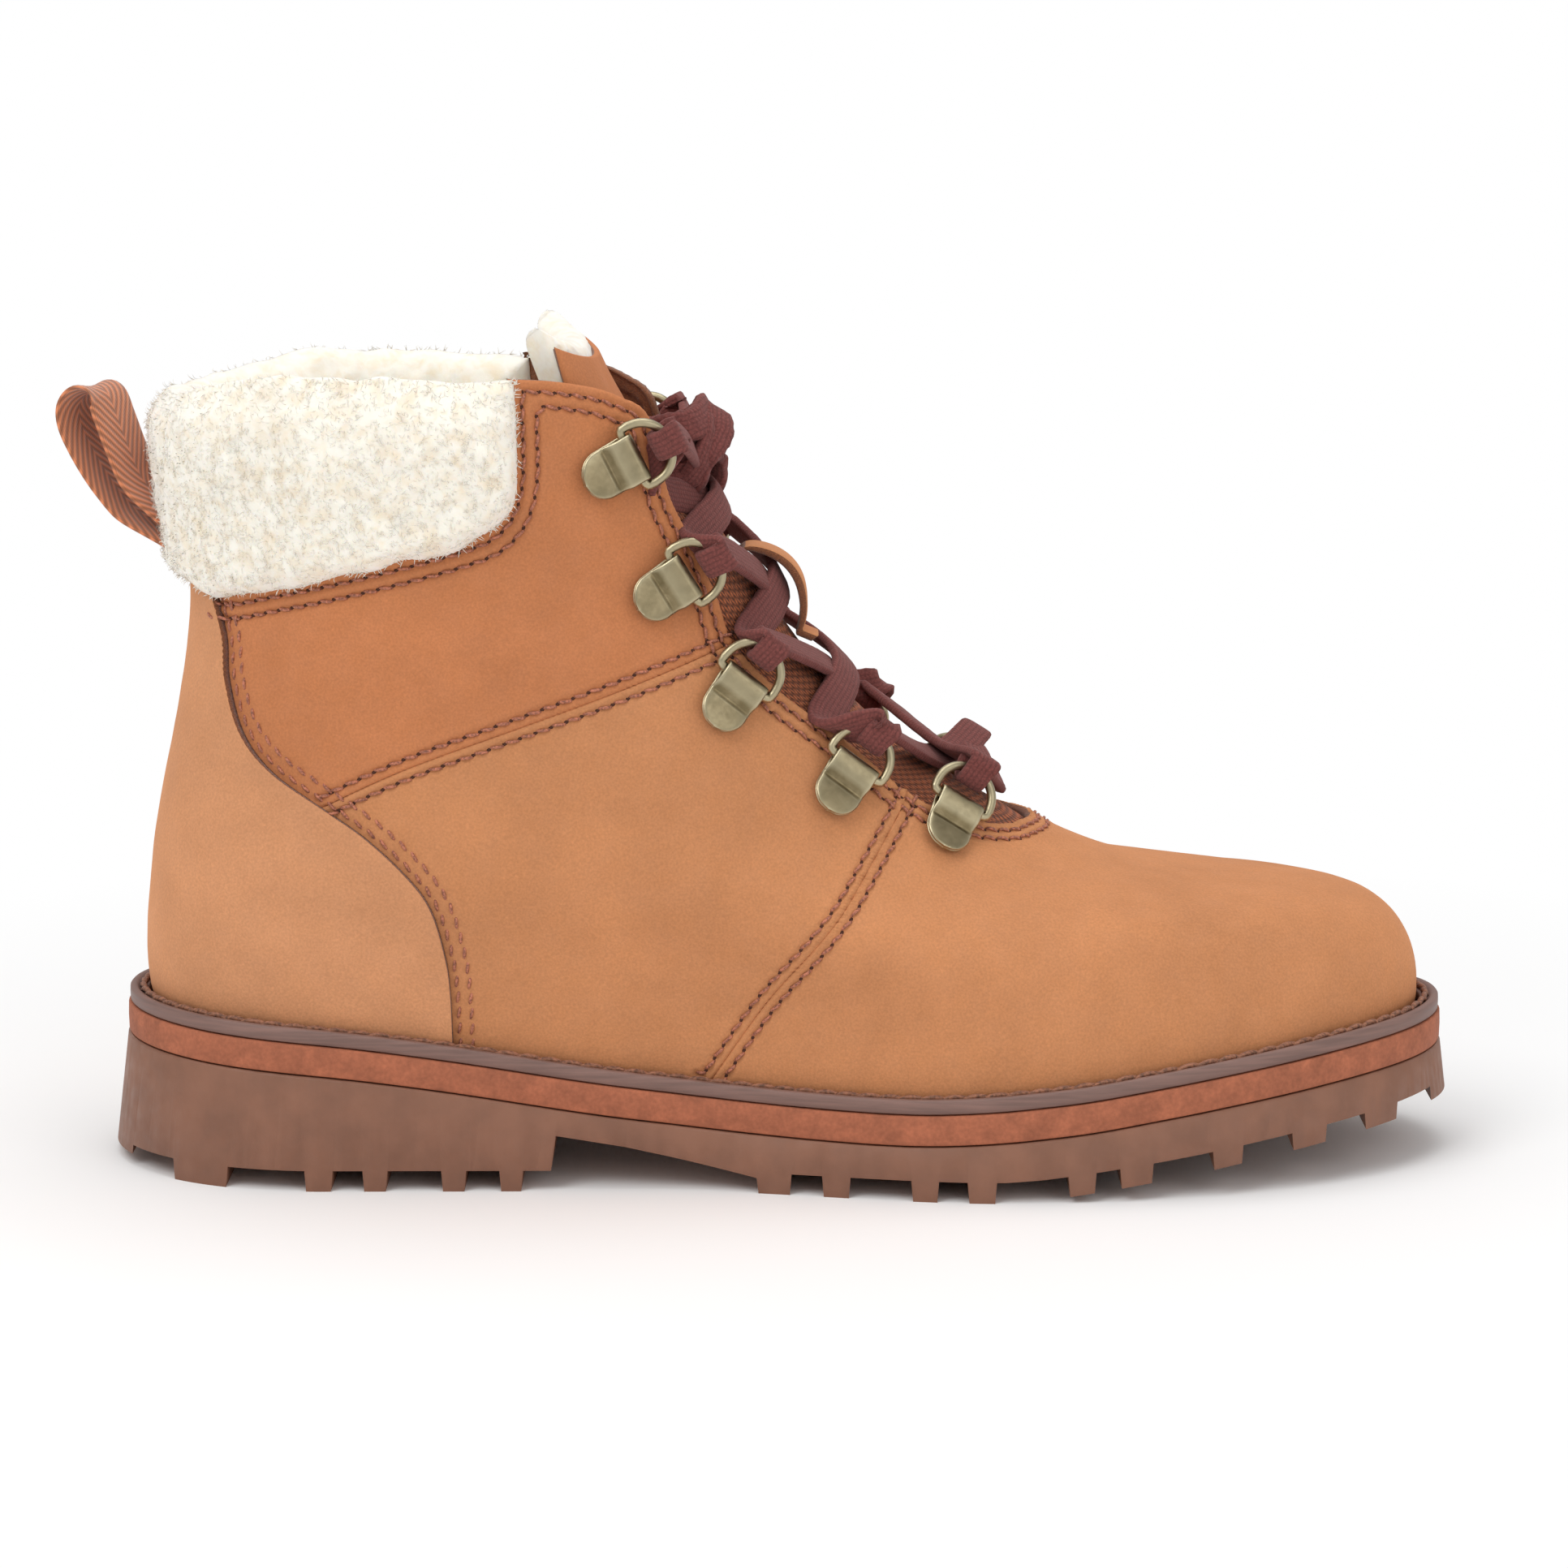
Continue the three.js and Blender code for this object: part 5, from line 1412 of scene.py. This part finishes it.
def lace_half(first):
    """The line of one half of the lace, from the toe end to the knot, and each strand's hinge and end."""
    along = unit(ridge(BAR_LEVEL + 0.02, 3.0) - ridge(BAR_LEVEL - 0.02, 3.0))
    start = ridge(BAR_LEVEL, LACE["low"] + 1.0)
    stations, shares, strands = [(start, along)], [1.0], [(None, start)]
    levels = [KNOT_LEVEL, *CROSSINGS, BAR_LEVEL]
    for index in range(len(CROSSINGS), -1, -1):
        side = first * (-1 if index % 2 else 1)
        hinge = hinge_of(side, index)
        bow = wrap(hinge)
        level = face_at(hinge.origin[0], hinge.origin[2], side)[1]
        above, below = levels[index:index + 2]
        after = crossing(index, side, bow[-1][0]) if index else (KNOT + [1.0, -side * 4.0, 0.5], KNOT_ENTRY)
        if abs(below - level) > SHORTEST_RUN:
            stations.append(draped(side, mix(level, below, 0.42), 1.5, stations[-1][0], bow[0][0]))
            shares.append(1.0)
        stations += bow
        shares += [0.88] + [0.76] * (len(bow) - 2) + [0.88]
        if abs(above - level) > SHORTEST_RUN:
            stations.append(draped(side, mix(level, above, 0.5), 3.0, bow[-1][0], after[0]))
            shares.append(1.0)
        stations.append(after)
        shares.append(1.0)
        strands.append((hinge, after[0]))
    return ribbon_line(stations, shares), strands


def build_lace():
    """Ten strands, each from one crossing through a ring to the next crossing."""
    for first in (1, -1):
        line, strands = lace_half(first)
        cuts = [int(np.argmin(np.linalg.norm(line[:, :3] - end, axis=1))) for _, end in strands]
        for (hinge, _), low, high in zip(strands[1:], cuts[:-1], cuts[1:]):
            strand = ribbon(f"lace_{hinge.name}", line[max(0, low - 1):high + 2], [LACE_COTTON],
                            LACE["thickness"], LACE["width"], LACE["ribs"], LACE_RIB, 0.1, seed=3)
            near, far = (tuple((hinge.origin + hinge.pull * reach) * 0.001) for reach in (10, 16))
            bending(strand, None, "lace_cotton", hinge.body, far, near)


def build_knot():
    """The tied knot: closed loops of lace round a core, which the hidden ends run into."""
    loops = []
    for i, (centre, a, b, width) in enumerate(KNOT_LOOPS):
        a, b = np.array(a, float), np.array(b, float)
        axis = unit(np.cross(a, b))
        stations = []
        for t in np.linspace(0, 2 * np.pi, 9)[:-1]:
            wobble = 1 + 0.12 * np.sin(2 * t + i)
            swing = axis * 0.9 * np.sin(t * 2 + i)
            point = KNOT + centre + wobble * (a * np.cos(t) + b * np.sin(t)) + swing
            stations.append((point, unit(axis + 0.25 * a / 8 * np.sin(t + i))))
        shares = [1 + 0.14 * np.sin(3 * j + i) for j in range(8)]
        line = ribbon_line(stations, shares, closed=True)
        loops.append(ribbon(f"lace_knot_{i + 1}", line, [LACE_COTTON], 2.6, width, LACE["ribs"], LACE_RIB,
                            0.3, closed=True, seed=20 + i))
    points, faces = tube(spline([KNOT + [-2, -7, 2], KNOT + [1, 0, 0], KNOT + [-2, 7, 2]], 1.0), 3.4, 12)
    core = outward(make_object("lace_knot_core", points, faces, [LACE_COTTON]))
    for obj, node in zip([*loops, core], ["lace"] + [None] * len(loops)):
        finished(obj, node)


KEEPER = {"levels": (0.712, 0.815), "half": 5.0, "foot": 0.8, "rise": 7.2, "thickness": 2.0}


def build_keeper():
    """A leather strap that arches over the middle of the tongue, with a short tab at its lower end."""
    k = np.linspace(-0.14, 1, 64)
    foot = KEEPER["foot"]
    rise = mix(foot, KEEPER["rise"], np.maximum(0, np.sin(np.pi * np.clip(k, 0, 1))) ** 0.7)
    rise = np.where(k < 0, foot - k * 13, rise)
    level = mix(*KEEPER["levels"], k)
    columns = np.linspace(-1, 1, 17)
    edge = 0.3 * (1 - rounded((1 - np.abs(columns)) / 0.14))
    sheets = []
    for offset, sign in ((KEEPER["thickness"], -1), (0.0, 1)):
        depth = -(rise[:, None] + offset + sign * edge[None])
        base = tongue_layer(np.zeros(depth.shape), np.broadcast_to(level[:, None], depth.shape), depth)
        base[..., 1] += KEEPER["half"] * columns * (1 + 0.03 * np.sin(9 * k))[:, None]
        sheets.append(base)
    made = grid_solid("lace_keeper_strap", *sheets, [NUBUCK, RAW_EDGE], None, 1)
    finished(made, "lace_keeper")


PULL_PATH = [[-29, 130], [-35.9, 134.2], [-39.4, 137.6], [-44.2, 144.6], [-48, 152.4], [-48.6, 157.4],
             [-46.2, 160.6], [-42.8, 159.8], [-40.9, 155], [-38.6, 148.4], [-35.4, 141], [-28.5, 134]]
PULL_WIDTH, PULL_THICKNESS, PULL_TURN = 15, 1.3, 0.45
# Where the webbing starts to bend with the loop, and where it bends no further, in metres.
PULL_FOLD = ((-0.035, 0, 0.1335), (-0.0395, 0, 0.140))


def build_pull_loop():
    """The webbing loop at the heel, turned a little towards the outer side."""
    across = np.array([np.sin(PULL_TURN), np.cos(PULL_TURN), 0])
    stations = [(np.array([x, 0, z]), across) for x, z in PULL_PATH]
    line = ribbon_line(stations, [1.0] * len(stations))
    made = ribbon("pull_loop_webbing", line, [WEBBING], PULL_THICKNESS, PULL_WIDTH, 0.1, 1.5, 0.03, sides=40,
                  corner=0.75)
    bending(made, "pull_loop", "webbing", "loop", *PULL_FOLD)


# ---- Sole ----

WELT_OUT, WELT_INNER = 4.6, 0.7
MIDSOLE_OUT, OUTSOLE_OUT, OUTSOLE_FLARE, LUG_DEPTH = 5.0, 5.2, 0.12, 4.2
# Lugs round the edge: from x to x.
EDGE_LUGS = [[-50, -37], [-29, -15.5], [-0.9, 6.4], [11, 17.6], [27.1, 33.7], [39, 45.3], [84, 100.3],
             [105, 112.3], [123.1, 130.2], [134.5, 141.9], [154.9, 162.1], [165.4, 173.8], [184.5, 192.5],
             [201.2, 210.4], [217.1, 226.4], [232.8, 250]]
# Lugs down the middle: x, y, length, width.
MIDDLE_LUGS = [[-19, 0, 15, 26], [0, 0, 16, 26], [19, 0, 16, 26], [38, 0, 14, 26], [101, 0, 15, 30],
               [119, -12, 17, 20], [119, 14, 17, 20], [138, 2, 17, 26], [157, -11, 17, 20], [157, 16, 17, 20],
               [176, 4, 17, 26], [195, -8, 16, 18], [195, 17, 16, 16], [213, 6, 14, 24]]
LUG_EDGE = 12  # width of the rim that the edge lugs stand in
LUG_DRAFT = 1.5
LUG_GROW = 0.3
LUG_TOP = 12  # how far a lug runs on into the sole above its groove
# The hollow between the heel and the ball, in side view.
ARCH = [[50.2, -5], [50.2, 3.4], [51.3, 11.3], [65.5, 9], [92.4, 3.1], [93.4, -5]]
# The welt's section: outset, height over the sole's top edge.
WELT_SECTION = [(WELT_INNER, -3), (WELT_OUT - 0.2, -3), (WELT_OUT, -2.8), (WELT_OUT + 0.05, -1.5),
                (WELT_OUT, -0.4), (WELT_OUT - 0.3, -0.05), (WELT_OUT - 0.9, 0.05), (3.1, -0.15), (2.7, -0.8),
                (1.9, -1.1), (1.1, -0.9), (WELT_INNER, -1.2)]
WELT_STITCH, WELT_STITCH_OUT = 4.4, 1.9


def plan_point(turn, out):
    """A point of the sole's plan: the upper's bottom edge moved outwards, as x, y."""
    d = 1e-3
    along = face_point(turn + d, 0) - face_point(turn - d, 0)
    away = unit(np.stack([along[..., 1], -along[..., 0]], -1))
    return face_point(turn, 0)[..., :2] - away * np.asarray(out)[..., None]


def midsole_top(x):
    return sole_top(x) - WELT_THICKNESS - GAP


def midsole_bottom(x):
    return midsole_top(x) - MIDSOLE_THICKNESS


def outsole_top(x):
    return midsole_bottom(x) - GAP


def edge_line(turns, out, height):
    """A line round the sole at an outset and at each point's height."""
    return np.concatenate([plan_point(turns, np.broadcast_to(out, turns.shape)), height[:, None]], 1)


def slab(name, side_profile, materials, stations, across=9, flat_relief=None):
    """A slab of the sole. side_profile(x) lists (outset, height) from the top edge down to the bottom."""
    turns = np.linspace(0.03, np.pi - 0.03, stations)
    section = side_profile(plan_point(turns, 0.0 * turns)[:, 0])
    outer, inner = (np.stack([edge_line(sign * turns, *place) for place in section], 1) for sign in (1, -1))
    k = np.linspace(0, 1, across)[1:-1]
    bottom = mix(outer[:, -1:, :], inner[:, -1:, :], k[None, :, None])
    top = mix(inner[:, :1, :], outer[:, :1, :], k[None, :, None])
    if flat_relief:
        top[..., 2] += flat_relief(top.reshape(-1, 3)).reshape(top.shape[:2])
    rings = np.concatenate([outer, bottom, inner[:, ::-1], top], 1)
    n = rings.shape[1]
    faces = grid_faces(len(rings), n, wrap_columns=True).tolist() + end_caps(len(rings), n)
    return outward(make_object(name, rings.reshape(-1, 3), faces, materials))


def prism(first, last):
    """A solid between two outlines of the same number of points."""
    n = len(first)
    faces = [list(range(n))[::-1], list(range(n, 2 * n))]
    faces += [[i, (i + 1) % n, n + (i + 1) % n, n + i] for i in range(n)]
    return np.array([*first, *last], float), faces


def edge_lug(low_x, high_x):
    """A block across the whole sole that narrows downwards."""
    low = float(ground((low_x + high_x) / 2))
    outlines = []
    for z, draft in ((max(0, low) - 1, LUG_DRAFT), (low + LUG_DEPTH + LUG_TOP, 0)):
        ends = (low_x - LUG_GROW + draft, high_x + LUG_GROW - draft)
        outlines.append([(ends[i], y, z) for i, y in ((0, -80), (1, -80), (1, 80), (0, 80))])
    return prism(*outlines)


def middle_lug(x, y, length, width):
    """A hexagon that narrows downwards."""
    low = float(ground(x))
    angles = np.arange(6) * np.pi / 3
    return prism(*([(x + length / 2 * k * np.cos(a), y + width / 2 * k * np.sin(a), z) for a in angles]
                   for z, k in ((low - 1, 0.93), (low + LUG_DEPTH + LUG_TOP, 1.12))))


def carve(target, name, made):
    """Cuts a solid out of an object."""
    cutter = made if isinstance(made, bpy.types.Object) else outward(make_object(name, *made, []))
    modifier = target.modifiers.new("carve", "BOOLEAN")
    modifier.operation = "DIFFERENCE"
    modifier.solver = "EXACT"
    modifier.object = cutter
    baked(target)
    bpy.data.objects.remove(cutter)


def baked(obj):
    """Applies an object's modifiers."""
    graph = bpy.context.evaluated_depsgraph_get()
    mesh = bpy.data.meshes.new_from_object(obj.evaluated_get(graph))
    obj.modifiers.clear()
    obj.data = mesh


def soften(obj, width):
    """Small bevels on sharp edges, and smooth shading between them."""
    sharp = np.radians(38)
    bevel = obj.modifiers.new("soften", "BEVEL")
    bevel.width = width * 0.001
    bevel.segments = 2
    bevel.limit_method = "ANGLE"
    bevel.angle_limit = sharp
    bevel.harden_normals = True
    baked(obj)
    for polygon in obj.data.polygons:
        polygon.use_smooth = True
    obj.data.set_sharp_from_angle(angle=sharp)


def build_outsole():
    """The tread: drafted lugs round the edge, hexagons down the middle, an arch, softened edges."""
    def side(x):
        top, low = outsole_top(x), ground(x)
        flare = OUTSOLE_FLARE * (top - low)
        return [(OUTSOLE_OUT - 0.4, top), (OUTSOLE_OUT, top - 0.4), (OUTSOLE_OUT + flare, low)]

    def beyond(x):
        return [(20, ground(x) + LUG_DEPTH), (20, 0 * x - 10)]

    tread = slab("outsole_tread", side, [OUTSOLE_RUBBER], 170)
    grooves = slab("grooves", beyond, [], 60)
    rim = outward(make_object("rim", *joined([edge_lug(*ends) for ends in EDGE_LUGS]), []))
    plan = plan_point(np.linspace(0, 2 * np.pi, 90, endpoint=False), np.full(90, -float(LUG_EDGE)))
    carve(rim, "plan", prism(*([(x, y, z) for x, y in plan] for z in (-60, 60))))
    carve(grooves, "rim", rim)
    carve(grooves, "middle", joined([middle_lug(*lug) for lug in MIDDLE_LUGS]))
    carve(tread, "grooves", grooves)
    carve(tread, "arch", prism(*([(x, y, z) for x, z in ARCH] for y in (-90, 90))))
    soften(tread, 0.3)
    finished(tread, "outsole")


def build_midsole():
    """The midsole, with rounded edges and a slightly swollen side."""
    def side(x):
        top, low = midsole_top(x), midsole_bottom(x)
        out = MIDSOLE_OUT
        return [(out - 0.45, top), (out - 0.12, top - 0.12), (out, top - 0.45), (out + 0.08, (top + low) / 2),
                (out, low + 0.45), (out - 0.12, low + 0.12), (out - 0.45, low)]

    finished(slab("midsole_layer", side, [MIDSOLE_RUBBER], 190), "midsole")


def build_welt():
    """The welt band with its gutter, and thick thread in the gutter in overlapping slanted stitches."""
    turns = np.linspace(0, 2 * np.pi, 420, endpoint=False)
    top = sole_top(plan_point(turns, 0.0 * turns)[:, 0])
    rings = np.stack([edge_line(turns, out, top + rise) for out, rise in WELT_SECTION], 1)
    faces = grid_faces(*rings.shape[:2], wrap_rows=True, wrap_columns=True)
    welt = outward(make_object("welt_band", rings.reshape(-1, 3), faces, [WELT_STRIP]))
    finished(welt, "welt")
    turns = np.linspace(0, 2 * np.pi, 900)
    top = sole_top(plan_point(turns, 0.0 * turns)[:, 0])
    path = resampled(edge_line(turns, WELT_STITCH_OUT, top - 0.35), WELT_STITCH)
    k = np.linspace(0, 1, 9)
    rise = 0.55 * np.sin(np.pi * k) ** 0.7 - 0.25
    radius = 0.62 * (0.75 + 0.25 * np.sin(np.pi * k))
    parts = []
    for a, b in zip(path[:-1], path[1:]):
        side = unit(np.cross(b - a, [0, 0, 1]))
        slant = np.outer(0.25 - 0.5 * k, side) + np.outer(rise, [0, 0, 1])
        parts.append(tube(a + np.outer(1.2 * k - 0.08, b - a) + slant, radius, 8))
    finished(make_object("welt_stitching", *joined(parts), [WELT_THREAD]), None)


def build_insole():
    """The board, the footbed and its fleece."""
    layers = [
        # node, inset, bottom and top over the sole's top edge, material, slot, stations and rows, relief
        ("insole_board", 3, -2.9, -1.1, BOARD, "board", (80, 9), None),
        ("footbed", 10.5, -0.8, 3, FOAM, "foam", (80, 9), None),
        ("footbed_fleece", 10.5, 3.3, 5.4, FLEECE, "fleece", (170, 60), lambda p: 0.45 * clumps(p, 14)),
    ]
    for node, inset_by, low, high, material, slot, grid, relief in layers:
        def side(x, out=-inset_by, low=low, high=high):
            edge = sole_top(x)
            return [(out - 0.6, edge + high), (out, edge + high - 0.5), (out, edge + low)]

        finished(slab(f"{node}_layer", side, [material], *grid, relief), node)


def finish_hidden_nodes():
    """Materials for the CAD nodes that stay: the stiffeners and the shank, inside the boot."""
    for node, material in (("heel_stiffener", BOARD), ("toe_stiffener", BOARD), ("shank", STEEL)):
        mesh = frame["nodes"][node].data
        mesh.materials.clear()
        mesh.materials.append(material)


build_upper()
build_collar()
build_lining()
build_tongue()
build_gussets()
build_keeper()
build_pull_loop()
for ring_hinge in hinges:
    build_clip(ring_hinge)
    build_ring(ring_hinge)
build_lace()
build_knot()
build_outsole()
build_midsole()
build_welt()
build_insole()
finish_hidden_nodes()


# ---- Floor, light and camera, in metres and watts ----

SKY_LIGHT = 0.62
FLOOR_HALF = 3000  # millimetres, as all meshes here
# Lamps: name, place, size, power.
LAMPS = [("key", (-0.6, -0.8, 1.2), 0.8, 7), ("fill", (0.9, -1.0, 0.6), 1.0, 3),
         ("top", (0.1, 0.1, 1.4), 1.0, 6)]
LAMPS_AIM = (0.1, 0, 0.08)
EYE, EYE_AIM = (0.098, -0.98481, 0.25115), (0.098, 0, 0.0775)
LENS = 109.2  # focal length in millimetres
SENSOR = 36


def floor_finish():
    """A white floor. Far from the boot it glows evenly, so that it has no horizon."""
    s = Shader("pale_floor", roughness=0.9)
    s.set("Base Color", s.ramp(s.noise(400, 2), (0.3, 0.91), (0.7, 0.93)))
    place = s.node("ShaderNodeSeparateXYZ", {"Vector": s.coordinates})
    x, y = s.plus(place.outputs[0], -0.1), place.outputs[1]
    away = s.maths("SQRT", s.plus(s.times(x, x), s.times(y, y)))
    glow = s.node("ShaderNodeEmission", {"Color": (1, 1, 1, 1)})
    share = s.ramp(away, (0.18, 0.0), (0.34, 1.0))
    both = s.node("ShaderNodeMixShader", {"Fac": share})
    s.tree.links.new(s.bsdf.outputs[0], both.inputs[1])
    s.tree.links.new(glow.outputs[0], both.inputs[2])
    s.tree.links.new(both.outputs[0], s.tree.nodes["Material Output"].inputs["Surface"])
    return s.material


def white_world():
    """A white sky that lights the boot less strongly than it shows behind it."""
    world = bpy.data.worlds.new("studio")
    bpy.context.scene.world = world
    world.use_nodes = True
    nodes, links = world.node_tree.nodes, world.node_tree.links
    background = nodes["Background"]
    background.inputs["Color"].default_value = (1, 1, 1, 1)
    strength = nodes.new("ShaderNodeMapRange")
    strength.inputs["To Min"].default_value = SKY_LIGHT
    strength.inputs["To Max"].default_value = 1.0
    links.new(nodes.new("ShaderNodeLightPath").outputs["Is Camera Ray"], strength.inputs["Value"])
    links.new(strength.outputs[0], background.inputs["Strength"])


def placed(name, data, place, aim):
    """A lamp or camera at a place, turned to look at another."""
    obj = bpy.data.objects.new(name, data)
    bpy.context.scene.collection.objects.link(obj)
    obj.location = place
    obj.rotation_euler = (Vector(aim) - obj.location).to_track_quat("-Z", "Y").to_euler()
    return obj


def build_stage():
    corners = [(x * FLOOR_HALF, y * FLOOR_HALF, 0) for x, y in ((-1, -1), (1, -1), (1, 1), (-1, 1))]
    make_object("floor", corners, [[0, 1, 2, 3]], [floor_finish()])
    white_world()
    for name, place, size, power in LAMPS:
        light = bpy.data.lights.new(name, "AREA")
        light.size = size
        light.energy = power
        placed(name, light, place, LAMPS_AIM)
    camera = bpy.data.cameras.new("camera")
    camera.lens = LENS
    camera.sensor_width = SENSOR
    camera.clip_start = 0.05
    bpy.context.scene.camera = placed("camera", camera, EYE, EYE_AIM)
    bpy.context.scene.view_settings.view_transform = "Standard"


build_stage()
